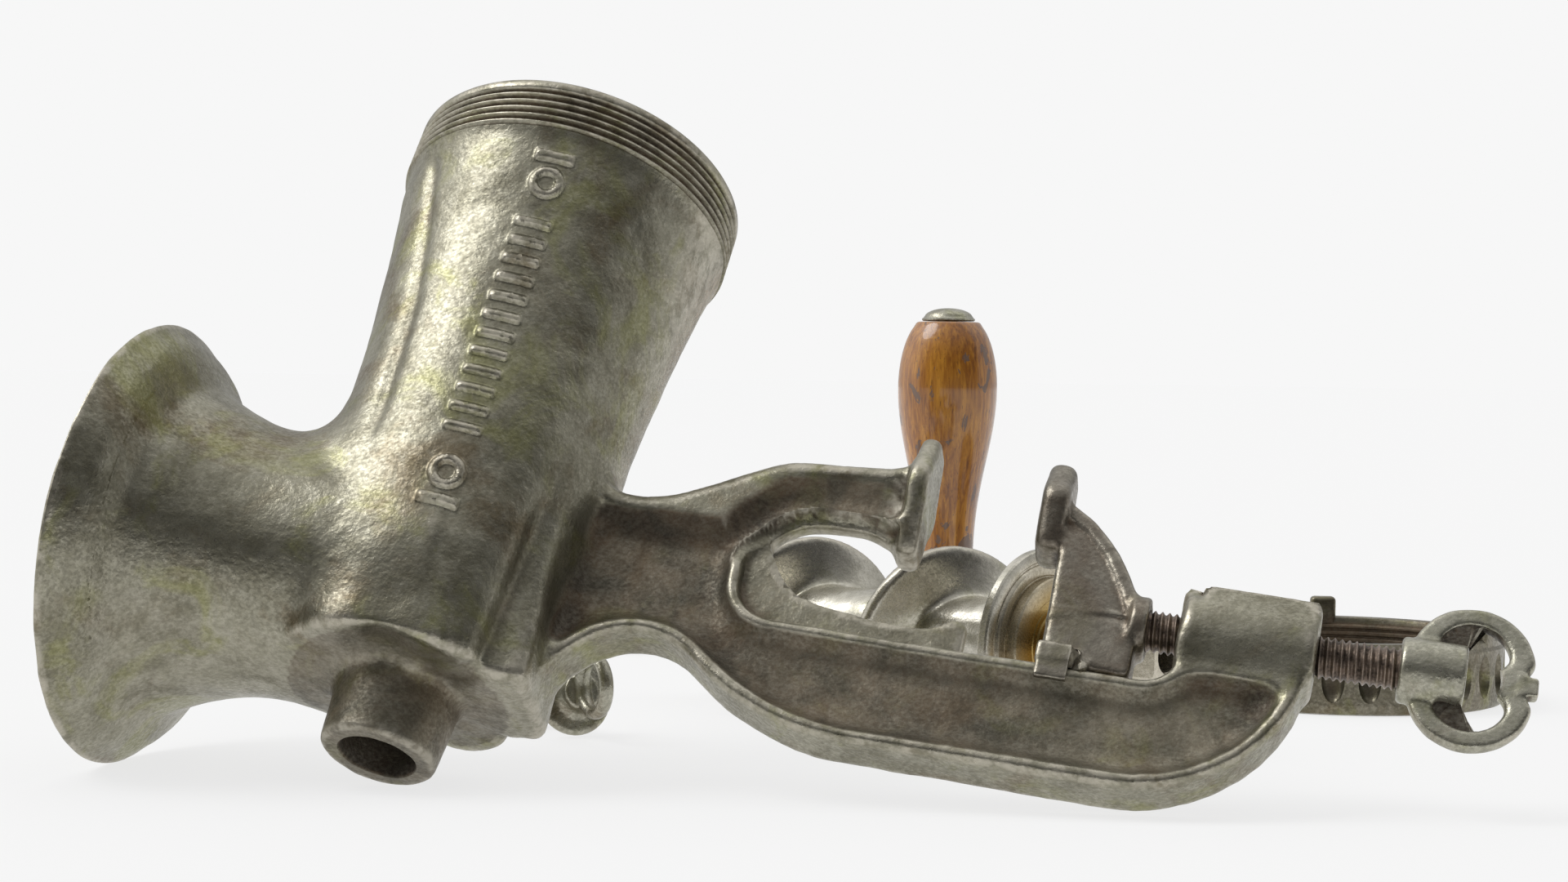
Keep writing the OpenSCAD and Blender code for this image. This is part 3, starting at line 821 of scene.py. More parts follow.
@dataclass(frozen=True)
class SteelFinish:
    """Browned steel, darkened in its grooves with dry greasy soiling and painted shade."""

    name: str
    dark: Colour = (0.035, 0.026, 0.02)
    light: Colour = (0.30, 0.23, 0.18)
    rub_and_highlight: Colour = (0.46, 0.38, 0.32)
    grease_and_shade: Colour = (0.02, 0.015, 0.011)

    def material(self) -> bpy.types.Material:
        """Build the node material.

        Returns:
            The material.
        """
        s = Sketch(bpy.data.materials.new(self.name))
        where = s.place()
        patch, fine = s.noise(where, 0.3, 5, 0.6), s.noise(where, 1.6, 4, 0.6)
        tone = s.math("ADD", s.math("MULTIPLY", patch, 0.6), s.math("MULTIPLY", fine, 0.4))
        colour = s.ramp(tone, [(0.38, self.dark), (0.64, self.light)])
        colour = s.mix(s.math("MULTIPLY", s.layer("wear_and_highlight"), 0.55), colour, self.rub_and_highlight)
        # Grooves and hollows go near black: painted shade, with greasy soiling.
        colour = s.mix(s.math("MULTIPLY", s.layer("sunk"), 0.75), colour, self.grease_and_shade)
        rough = s.span(tone, 0.35, 0.65, 0.55, 0.34)
        return s.finish(Base_Color=colour, Metallic=0.85, Roughness=rough,
                        Normal=s.bump(tone, 0.4, 0.0003))


@dataclass(frozen=True)
class WoodFinish:
    """Orange-brown hardwood under old glossy varnish, with rubbed and chipped spots."""

    name: str = "old_varnished_wood"
    deep: Colour = (0.12, 0.038, 0.004)
    body: Colour = (0.385, 0.135, 0.009)
    glow: Colour = (0.66, 0.29, 0.028)
    bare: Colour = (0.17, 0.115, 0.09)

    def material(self) -> bpy.types.Material:
        """Build the node material.

        Returns:
            The material.
        """
        s = Sketch(bpy.data.materials.new(self.name))
        grain_at = s.place(scale=(1.0, 1.0, 0.09))
        line_at = s.place(scale=(1.0, 1.0, 0.16))
        grain = s.noise(grain_at, 0.85, 6, 0.62, 0.5)
        pore = s.noise(line_at, 2.3, 3, 0.5, 0.1)
        broad = s.noise(s.place(scale=(1, 1, 0.3)), 0.09, 3, 0.5)
        tone = s.math("ADD", s.math("MULTIPLY", grain, 0.62), s.math("MULTIPLY", broad, 0.38))
        colour = s.ramp(tone, [(0.33, self.deep), (0.47, self.body), (0.64, self.glow)])
        pores = s.span(pore, 0.60, 0.72, 0.0, 0.65)
        colour = s.mix(pores, colour, self.deep)
        chip = s.span(s.noise(s.place(scale=(1, 1, 0.55)), 0.13, 5, 0.62, 0.8), 0.61, 0.625)
        colour = s.mix(s.math("MULTIPLY", chip, 0.85), colour, self.bare)
        rough = s.span(chip, 0.0, 1.0, 0.34, 0.6)
        height = s.math("SUBTRACT", s.math("MULTIPLY", grain, 0.5), chip)
        normal = s.bump(height, 0.5, 0.0006)
        normal = s.bump(pore, 0.12, 0.0002, normal)
        return s.finish(Base_Color=colour, Metallic=0.0, Roughness=rough, Normal=normal,
                        Coat_Weight=0.8, Coat_Roughness=0.1, Coat_IOR=1.6)


@dataclass(frozen=True)
class TableFinish:
    """Matt pale table top."""

    name: str = "table"
    shade: float = 0.90
    pale: float = 0.955
    share: float = 0.80

    def material(self) -> bpy.types.Material:
        """Build the node material.

        Returns:
            The material.
        """
        s = Sketch(bpy.data.materials.new(self.name))
        ray = s.node("ShaderNodeLightPath").outputs
        seen = s.math("MAXIMUM", ray["Is Camera Ray"], ray["Is Glossy Ray"])
        seen = s.math("MAXIMUM", seen, ray["Is Transmission Ray"])
        matt = s.node("ShaderNodeBsdfDiffuse", Color=(self.shade, self.shade, self.shade, 1))
        glow = s.node("ShaderNodeEmission", Color=(self.pale, self.pale, self.pale, 1), Strength=1.0)
        both = s.node("ShaderNodeMixShader", in0=s.math("MULTIPLY", seen, self.share),
                      in1=matt.outputs[0], in2=glow.outputs[0])
        s.node("ShaderNodeOutputMaterial", Surface=both.outputs[0])
        return s.owner


class Finish(Enum):
    """Finishes that the pieces choose from."""

    CASTING = TinFinish("tinned_casting")
    JAW = TinFinish("tinned_jaw", pale=(0.29, 0.265, 0.22), deep=(0.19, 0.17, 0.135),
                    brown=(0.17, 0.13, 0.095), mossy=0.15, cleaned=0.2)
    BRIGHT = TinFinish("worn_bright_tin", pale=(0.48, 0.465, 0.38), deep=(0.33, 0.32, 0.25),
                       gloss=(0.24, 0.42), cleaned=0.5, mossy=0.35)
    FEED = TinFinish("feed_screw_tin", pale=(0.66, 0.63, 0.55), deep=(0.44, 0.42, 0.35),
                     clean=(0.82, 0.79, 0.70), gloss=(0.20, 0.32), cleaned=0.4, mossy=0.2,
                     stained=0.3, faint=0.9, grain=0.35, amber=True)
    NUT = TinFinish("ring_nut_tin", pale=(0.26, 0.235, 0.18), deep=(0.15, 0.135, 0.09),
                    mossy=0.6, cleaned=0.2, grain=0.7)
    STEEL = SteelFinish("brown_steel")
    WOOD = WoodFinish()

    def material(self) -> bpy.types.Material:
        """The finish's material, built once."""
        return bpy.data.materials.get(self.value.name) or self.value.material()


class Piece:
    """Hands a finished mesh over to the frame."""

    @staticmethod
    def hand_over(obj: Thing, pose: Matrix, finish: Finish, slot: str, body: str,
                  *nodes: str) -> None:
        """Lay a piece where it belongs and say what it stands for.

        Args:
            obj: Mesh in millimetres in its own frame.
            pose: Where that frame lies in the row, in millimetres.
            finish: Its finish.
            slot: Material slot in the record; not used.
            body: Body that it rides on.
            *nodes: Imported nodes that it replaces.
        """
        BENCH.turn(obj, Matrix.Scale(MM, 4) @ pose)
        obj.data.materials.clear()
        obj.data.materials.append(finish.material())
        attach(obj, body)
        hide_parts(*nodes)
        count = sum(len(p.vertices) - 2 for p in obj.data.polygons)
        log.info("%s: %d triangles, stands for %s", obj.name, count, ", ".join(nodes))


def joint(name: str) -> dict:
    """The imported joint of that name."""
    return next(j for j in frame["joints"] if j["name"] == name)


def axes(x: Vector, y: Vector, z: Vector, origin: Vector) -> Matrix:
    """Pose from three directions and an origin.

    Args:
        x: Direction of X.
        y: Direction of Y.
        z: Direction of Z.
        origin: Origin in millimetres.

    Returns:
        The pose.
    """
    out = Matrix((x, y, z)).transposed().to_4x4()
    out.translation = origin
    return out


def casting_pose() -> Matrix:
    """Find where the casting's own frame lies.

    Returns:
        The frame, with +X to the outlet and +Z to the hopper.
    """
    bore_middle = 12.25
    mounts = {m["name"]: m for m in frame["record"]["mounts"]}
    x = Vector(mounts["barrel_bore"]["axis"]).normalized()
    z = -Vector(mounts["table_pad"]["axis"])
    z = (z - z.dot(x) * x).normalized()
    origin = Vector(mounts["barrel_bore"]["pos_m"]) / MM + bore_middle * x
    return axes(x, z.cross(x), z, origin)


# ---------------------------------------------------------------- casting

@dataclass
class Casting:
    """Barrel, hopper and clamp frame: one casting with machined bores and an outlet thread."""

    front_x: float = 75.6
    rear_x: float = -73.1
    boss_end: float = -90.3
    boss_rear_r: float = 13.4
    boss_front_r: float = 14.6
    hopper_x: float = -46.0
    bore_r: float = 25.3
    recess_r: float = 34.4
    bearing_r: float = 8.75
    pitch: float = 2.15
    crests: int = 5
    flange_half: float = 6.7
    web_half: float = 2.8
    lip_sink: float = 4.4
    bead_sink: float = 3.6
    bead_width: float = 5.2
    draft: float = 0.42
    pad_low: float = -108.5
    pad_high: float = -103.5
    screw_x: float = -27.7
    screw_hole_r: float = 4.82
    screw_boss_r: float = 9.3
    screw_boss_low: float = -199.5
    screw_boss_high: float = -171.0
    bar_height: float = 1.05
    voxel: float = 0.95
    skin: Points = ((0.20, 13, 3.1), (0.11, 5.5, 7.7), (0.05, 2.2, 1.3))
    barrel_line: Points = (
        (-73.1, 26.5), (-72.6, 28.4), (-70, 29.6), (-60, 30.7), (-40, 32.6), (-15, 34), (0, 34.3),
        (13, 35), (25, 36.2), (37, 37.3), (44, 38.3), (53, 39.6), (59, 40.7), (62.5, 41.9), (66, 42))
    neck_line: Points = (
        (30.8, 0), (30.8, 22), (30.9, 30), (31.2, 37), (32.0, 43), (33.4, 48.6), (35.3, 54),
        (38.4, 60.6), (40.6, 63), (43.9, 65.2), (47.7, 68.1), (50.3, 71.2), (51.9, 73.0))
    neck_rim: Points = ((52.4, 74), (51.7, 74.6))
    front_edge: Points = ((-10, -12, 0), (-15.4, -45.5, 24), (0.9, -73.6, 26), (3.4, -103.5, 0))
    inner_edge: Points = (
        (-43.3, -171, 8), (-43.3, -112, 60), (-42.6, -71.4, 9), (-26.2, -70.2, 7),
        (-14.6, -80.5, 15), (-14.4, -96, 18))
    back_edge: Points = (
        (-70.1, -199.5, 39), (-70.1, -83.3, 60), (-43.9, -50, 19), (-67, -30, 0), (-67, -12, 0))
    pad_corners: Points = (
        (12.8, -4.5, 3), (12.8, 4.5, 3), (-2, 12.5, 6),
        (-19.6, 4.5, 3), (-19.6, -4.5, 3), (-2, -12.5, 6))
    barrel: Section = field(init=False)
    neck: Section = field(init=False)
    outline: Section = field(init=False)
    opening: Section = field(init=False)
    ledge: Section = field(init=False)
    pad: Section = field(init=False)
    crease: Section = field(init=False)

    def __post_init__(self) -> None:
        """Prepare the sections that the form is read from."""
        self.barrel = Section([(self.rear_x, -20), *swept(self.barrel_line, 3), (66, -20)])
        self.neck = Section([(-20, -6), (30.8, -6), *swept(self.neck_line, 3), *self.neck_rim,
                             (-20, 74.6)])
        self.outline = Section(rounded([
            *self.front_edge, (-10, -103.5, 0), (-10, -199.5, 0), *self.back_edge]))
        self.opening = Section(rounded([
            (32, -171, 0), *self.inner_edge, (-17.6, -104.5, 0), (-14, -108, 0), (32, -108, 0)]))
        self.ledge = Section(rounded([
            (-19, -72.6, 0), (-34, -81.5, 16), (-37.6, -104, 60), (-37.4, -114, 10),
            (-34, -120.5, 2), (-34, -123.2, 0.5), (-45.3, -123.2, 0), (-45.3, -68.5, 0),
            (-19, -68.5, 0)]))
        self.pad = Section(rounded(self.pad_corners, 6))
        self.crease = Section([(-14.6, -12), (-14.6, -18.8), (-19.6, -26), (-25.4, -33.6),
                               (-26.2, -47.7), (-26, -67), (-19.1, -71.6), (-15.2, -76),
                               (-12.4, -82), (-11.6, -91), (-11.8, -106), (20, -106), (20, -12)])

    def barrel_form(self, x: np.ndarray, y: np.ndarray, z: np.ndarray) -> np.ndarray:
        """Distance to the barrel with its side grooves and the thicker top.

        Args:
            x: Place of each point along the barrel.
            y: Place across.
            z: Height in the casting's frame.

        Returns:
            The distances.
        """
        r = np.hypot(y, z)
        angle = np.degrees(np.arctan2(z, np.abs(y)))
        d = self.barrel.at(x, r)
        # A groove runs along the side, with a raised step above it.
        line = np.interp(x, [-60, -32, -9.4, 14.5, 59], [27, 28.2, 29.7, 31.7, 43])
        s = np.radians(angle - line) * r
        live = (1 - ease(x, 52, 61)) * ease(x, -36, -12)
        d += live * (1.0 * np.exp(-(s / 2.1) ** 2) - 0.8 * ease(s, 0, 8) * (1 - ease(s, 16, 34)))
        # Two shallow flutes fade out toward the outlet.
        d += 1.7 * np.exp(-((angle + 2) / 15) ** 2) * (1 - ease(x, -68, -46))
        d += 1.7 * np.exp(-((angle + 53) / 6.5) ** 2) * (1 - ease(x, -40, -18))
        return d

    def root_form(self, x: np.ndarray, y: np.ndarray, z: np.ndarray) -> np.ndarray:
        """Distance to the thick root under the barrel that the leg grows from.

        Args:
            x: Place of each point along the barrel.
            y: Place across.
            z: Height in the casting's frame.

        Returns:
            The distances.
        """
        lift = 4.5 * ease(x, -73, -22)
        qy, qz = np.abs(y) - 11.5, -z - (28.2 - lift)
        d = np.hypot(np.maximum(qy, 0), np.maximum(qz, 0)) + np.minimum(np.maximum(qy, qz), 0) - 4
        ends = np.maximum(self.rear_x - x, x + 26)
        return np.maximum(trim(d, ends, 3), z + 8)

    def frame_form(self, x: np.ndarray, y: np.ndarray, z: np.ndarray) -> np.ndarray:
        """Distance to the leg and clamp frame with its web pockets.

        Args:
            x: Place of each point along the barrel.
            y: Place across.
            z: Height in the casting's frame.

        Returns:
            The distances.
        """
        side = np.abs(y)
        rim, hole = self.outline.at(x, z), self.opening.at(x, z)
        # The flange thins to a lip at the opening and to a bead along the upper arm.
        lip = ease(x, -33, -17.5) * ease(-z, 60, 68)
        low = self.lip_sink * lip * (1 - ease(hole, 2.6, 3.8))
        upper = ease(x, -32, -22) * (1 - ease(-z, 97, 103))
        fall = np.clip(1 + rim / self.bead_width, 0, 0.98)
        low += self.bead_sink * upper * (1 - np.sqrt(1 - fall ** 2)) * ease(hole, 3, 6)
        flange = trim(trim(rim, -hole, 1.4), side - self.flange_half + low, 2.2)
        # The web's pocket follows the edges and runs out straight into the pad.
        run = np.where((x > -18) & (z < -94), -94, z)
        edge, gap = self.outline.at(x, run), self.opening.at(x, run)
        lean = self.draft * (self.flange_half - side)
        # Past the crease the web rises to the flange.
        above = np.clip(-self.crease.at(x, z), 0, 8.5)
        fold = (0.50 - 0.14 * ease(-z, 64, 80)) * above
        crisp = upper * (1 - ease(-edge, 6.5, 9))
        pocket = trim(np.maximum(edge + 2.7 + 1.9 * upper, 2.5 - 0.6 * lip - gap)
                      + lean * (1 - 0.7 * crisp), self.web_half + fold - side, 4.5 - 3.3 * crisp)
        pocket = trim(pocket, np.minimum(x + 39.7, -(z + 168)), 5)
        body = trim(flange, -pocket, 1.2)
        ledge = trim(self.ledge.at(x, z), side - self.web_half, 1.0)
        return blend(body, ledge, 1.5)

    def form(self, p: np.ndarray) -> np.ndarray:
        """Distance to the casting before it is machined.

        Args:
            p: Points, one in each row.

        Returns:
            The distances.
        """
        x, y, z = p.T
        d = blend(self.barrel_form(x, y, z), self.root_form(x, y, z), 2.2)
        d = blend(d, self.frame_form(x, y, z), 5.0)
        r_neck = np.hypot(x - self.hopper_x, y)
        d = blend(d, self.neck.at(r_neck, z), 4 + 9 * ease(x, -40, -22))
        taper = np.interp(x, [self.boss_end, self.rear_x], [self.boss_rear_r, self.boss_front_r])
        boss = trim(np.hypot(y, z) - taper, np.maximum(self.boss_end - x, x + 60), 1.4)
        d = blend(d, boss, 3.0)
        pad = trim(self.pad.at(x, y), past(z, self.pad_low, self.pad_high), 2.6)
        d = blend(d, pad, 2.6)
        screw = trim(np.hypot(x - self.screw_x, y) - self.screw_boss_r,
                     past(z, self.screw_boss_low, self.screw_boss_high), 1.6)
        return blend(d, screw, 4.0)

    def detail(self, p: np.ndarray) -> np.ndarray:
        """Distance to the form with sand-cast lumps and the raised bars on the barrel's side.

        Args:
            p: Points, one in each row.

        Returns:
            The distances.
        """
        x, y, z = p.T
        d = self.form(p)
        d -= lumps(p, *self.skin) * (1 - 0.8 * ease(-z, 194, 198))
        # Bars across the band, and a ring and a dash at each of its ends.
        r = np.hypot(y, z)
        s = np.radians(np.degrees(np.arctan2(z, -y)) + 9.5) * r
        near = (r < 46) & (np.abs(s) < 9) & (y < 0)
        lift = np.zeros(len(p))
        for at in np.arange(-21.5, 37, 5.2):
            bar = (1 - ease(np.abs(x - at), 0.6, 1.6)) * (1 - ease(np.abs(s), 3.9, 5))
            lift = np.maximum(lift, bar)
        for at, way in ((47.0, 1), (-33.5, -1)):
            ring = np.abs(np.hypot(x - at, s) - 3.2)
            lift = np.maximum(lift, 1 - ease(ring, 0.5, 1.5))
            dash = np.maximum(np.abs(x - at - way * 7.2) - 0.8, np.abs(s) - 4.2)
            lift = np.maximum(lift, 1 - ease(dash, 0, 1.0))
        return d - self.bar_height * lift * near

    def rough(self) -> Thing:
        """Skin rough solids as one and settle the skin onto the form.

        Returns:
            The casting before it is machined.
        """
        b = BENCH
        parts = [
            b.lathe("barrel_rough", [(0, self.rear_x), (27, self.rear_x), (30, -68), (34, -10),
                                     (38, 45), (42, 63), (42, 66), (0, 66)], 64, pose=ABOUT_X),
            b.lathe("boss_rough", [(0, self.boss_end), (self.boss_rear_r, self.boss_end),
                                   (self.boss_front_r, -60), (0, -60)], 40, pose=ABOUT_X),
            b.lathe("neck_rough", [(0, -6), (30.8, -6), *swept(self.neck_line, 2), *self.neck_rim,
                                   (0, 74.6)], 80, pose=shift(self.hopper_x)),
            b.slab("frame_rough", self.c_outline(), -self.flange_half, self.flange_half),
            b.slab("ledge_rough", [(-19, -72.6), (-34, -81.5), (-37.6, -104), (-34, -123.2),
                                   (-45.3, -123.2), (-45.3, -68.5), (-19, -68.5)],
                   -self.web_half, self.web_half),
            b.box("root_rough", (self.rear_x, -15, -31), (-26, 15, -8)),
            b.slab("pad_rough", rounded(self.pad_corners, 4), self.pad_low, self.pad_high, "z"),
            b.lathe("screw_boss", rod(self.screw_boss_r, self.screw_boss_low, self.screw_boss_high),
                    40, pose=shift(self.screw_x))]
        body = b.cast("grinder_casting", parts, self.voxel, self.form, (7, 2.5), 4, (4, 1.2))
        b.relax(body, 1, 0.3)
        self.refine_band(body)
        b.settle(body, self.detail, 3, 0.8)
        return body

    def c_outline(self) -> list:
        """Outline of the C-shaped frame as one closed line.

        Returns:
            Its points.
        """
        front = rounded(self.front_edge, 8)
        inner = rounded([(-16.8, -103.5, 0), *self.inner_edge[::-1],
                         (self.screw_x, self.screw_boss_high, 0)], 8)
        back = rounded([(self.screw_x, self.screw_boss_low, 0), *self.back_edge], 8)
        return [tuple(q) for q in (*front, *inner, *back)]

    def refine_band(self, body: Thing) -> None:
        """Split the faces of the band with raised bars, so that it can hold them.

        Args:
            body: The casting.
        """
        p = BENCH.points(body)
        angle = np.degrees(np.arctan2(p[:, 2], -p[:, 1]))
        r = np.hypot(p[:, 1], p[:, 2])
        pick = ((angle > -21) & (angle < 2) & (p[:, 0] > -44) & (p[:, 0] < 57)
                & (p[:, 1] < -20) & (r < 44))
        with BENCH.editing(body):
            bpy.ops.mesh.select_all(action="DESELECT")
            bpy.ops.object.mode_set(mode="OBJECT")
            body.data.vertices.foreach_set("select", pick)
            bpy.ops.object.mode_set(mode="EDIT")
            bpy.ops.mesh.select_mode(type="VERT")
            bpy.ops.mesh.select_mode(type="FACE")
            bpy.ops.mesh.subdivide(number_cuts=1)
            bpy.ops.mesh.select_mode(type="VERT")

    def machine(self, body: Thing) -> None:
        """Bore the barrel and the bearing, open the hopper and drill the screw's hole.

        Args:
            body: The casting.
        """
        b = BENCH
        b.carve(body, b.lathe("bore", [
            (0, -68.1), (24.8, -68.1), (self.bore_r, -67.6), (self.bore_r, 43.6),
            (self.recess_r, 53.6), (self.recess_r, 61.3), (60, 61.3), (60, 90), (0, 90)],
            128, pose=ABOUT_X))
        b.carve(body, b.lathe("bearing", [
            (0, -95), (11, -95), (9.3, self.boss_end), (self.bearing_r, -89.6),
            (self.bearing_r, -60), (0, -60)], 96, pose=ABOUT_X))
        wall = swept([(24.0, 26), (25.4, 32), (26.8, 40), (27.6, 47), (30.2, 54), (34.2, 61),
                      (36.6, 63.7), (38.6, 65.6)], 3)
        b.carve(body, b.lathe("funnel", [
            (0, 5), (23.8, 5), (23.8, 22), *wall, (70, 65.7), (70, 90), (0, 90)],
            128, pose=shift(self.hopper_x)))
        b.carve(body, b.lathe("screw_hole", [
            (0, -201), (5.6, -201), (self.screw_hole_r, -198.6), (self.screw_hole_r, -171.6),
            (5.6, -170), (0, -170)], 64, pose=shift(self.screw_x)))

    def muzzle(self) -> Thing:
        """Turn the outlet with its thread's crests and plain rim.

        Returns:
            The ring.
        """
        crest = ((41.9, -0.2), (42.0, -0.1), (42.0, 0.1), (41.85, 0.22), (41.0, 0.55), (40.7, 0.85),
                 (40.7, 1.3), (41.0, 1.6), (41.8, 1.9))
        face = ((42.0, -2.3), (42.0, -0.7), (41.6, -0.15), (41.0, 0), (35.0, 0), (34.5, -0.4))
        line = [(self.recess_r, 60.6), (39.5, 60.6), (41.2, 61.6), (41.7, 62.2)]
        first = self.front_x - 2.4 - self.crests * self.pitch
        for i in range(self.crests):
            line += [(r, first + i * self.pitch + x) for r, x in crest]
        line += [(r, self.front_x + x) for r, x in face]
        ring = BENCH.lathe("outlet_thread", line, 192, ring=True, pose=ABOUT_X)
        y, z = BENCH.points(ring).T[1:]
        self.tint(ring, np.hypot(y, z), (41.5, 41.9), (41.7, 40.9))
        return ring

    def brim(self) -> Thing:
        """Turn the crisp brim of the bell, lumpy like the rest of it.

        Returns:
            The ring.
        """
        outer = [q for q in swept(self.neck_line, 5) if q[1] > 65]
        inner = swept([(38.2, 65.2), (43.2, 69.5), (47.2, 72.2), (49.6, 73.9)], 5)
        edge = [(52.35, 73.5), (52.5, 74.0), (52.3, 74.45), (51.8, 74.6), (50.9, 74.5)]
        ring = BENCH.lathe("brim", outer + edge + inner[::-1], 240, ring=True)
        p = BENCH.points(ring)
        rise = lumps(p + (self.hopper_x, 0, 0), *self.skin)
        p += BENCH.points(ring, "normal") * rise[:, None]
        BENCH.place(ring, p)
        self.tint(ring, np.hypot(p[:, 0], p[:, 1]), (51.2, 52.3), (10, 9))
        return BENCH.turn(ring, shift(self.hopper_x))

    def tint(self, ring: Thing, r: np.ndarray, wear_and_highlight: Sequence[float],
             sunk: Sequence[float]) -> None:
        """Mark a turned ring's crests as bare metal and darken its grooves, with soiling and painted shade.

        Args:
            ring: The ring.
            r: Distance of each of its vertices from its axis.
            wear_and_highlight: Distances where its crests start to wear and where they are bare.
            sunk: Distances where the darkening starts and where it is full.
        """
        BENCH.mark(ring, "wear_and_highlight", 0.8 * ease(r, *wear_and_highlight))
        BENCH.mark(ring, "sunk", 0.8 * ease(r, *sunk))

    def stain(self, body: Thing) -> None:
        """Darken the frame's pockets and bores as well as its hollows: painted shade in the recesses, with
        soiling.

        Args:
            body: The casting.
        """
        x, y, z = BENCH.points(body).T
        # Painted shade, with soiling, over the web's pockets between the flanges.
        deep = 1 - ease(np.abs(y), 6.0, 6.6)
        upper = ease(x, -32, -22)
        deep *= ease(-self.outline.at(x, z) - 3.3 * upper, 1.4, 2.6)
        deep *= ease(self.opening.at(x, z), 1.5, 3.0)
        deep *= ease(-z, 16, 30) * (1 - ease(-z, 186, 194))
        # Past the crease the web slopes to face down and is made darker: painted shade.
        above = -self.crease.at(x, z)
        deep *= 0.58 + 0.30 * ease(above, -1, 3) * (1 - ease(-z, 66, 92))
        # The painted shade is stronger in the lower arm below the crease and fades towards the foot.
        deep = np.where((z < -72) & (x > -22) & (above < 0), deep * 1.45, deep)
        deep *= 1 - 0.25 * ease(-z, 120, 160)
        # The bearing, the boss's end and the bore are darkened inside: painted shade.
        r = np.hypot(y, z)
        deep = np.maximum(deep, (r < 9.4) * (x < -62) * (x > self.boss_end + 0.6))
        deep = np.maximum(deep, 0.5 * (r < 16) * (x < -75) * (1 - ease(-x, 86, 89.5)))
        deep = np.maximum(deep, 0.45 * (r < self.bore_r + 0.3))
        # On the rear face the painted shade is cut to a fifth, so the face stays light.
        sunk = BENCH.marks(body, "sunk")
        sunk = np.where((x < -70) & (r > 15.2), 0.2 * sunk, sunk)
        # The faces just inside the opening are darkened a little: painted shade.
        inside = (self.opening.at(x, z) < 0.6) & (z < -68) & (z > -125)
        deep = np.maximum(deep, 0.22 * inside)
        BENCH.mark(body, "sunk", np.maximum(sunk, deep))

    def paint_highlights(self, body: Thing) -> None:
        """Paint highlights on the upper arm's bead and lip, and a painted reflection on the rear face.

        Args:
            body: The casting.
        """
        x, y, z = BENCH.points(body).T
        # Painted highlights along the rounded bead and the lip of the upper arm, where they face the light.
        bead = ease(x, -32, -22) * ease(-z, 30, 40) * (1 - ease(-self.outline.at(x, z), 3.8, 4.6))
        lip = ease(x, -33, -24) * ease(-z, 64, 70) * (np.abs(y) < 3.2)
        lip *= 1 - ease(self.opening.at(x, z), 1.2, 1.8)
        bright = 0.75 * np.maximum(bead, 0.8 * lip) * (z > -103) * (z < -30)
        # Painted reflection of the pale table on the rear face.
        rear = (x < -72) & (np.hypot(y, z) > 15.2)
        bright = np.maximum(bright, 0.4 * rear)
        BENCH.mark(body, "wear_and_highlight", np.maximum(BENCH.marks(body, "wear_and_highlight"), bright))

    def build(self) -> None:
        """Make the casting and lay it in place."""
        body = self.rough()
        BENCH.age(body)
        self.machine(body)
        self.stain(body)
        self.paint_highlights(body)
        body = BENCH.merge("grinder_casting", body, self.muzzle(), self.brim())
        BENCH.soften(body, 40)
        Piece.hand_over(body, casting_pose(), Finish.CASTING, "tinned_iron", "casting",
                        "barrel", "hopper", "clamp_frame")


# ---------------------------------------------------------------- clamp

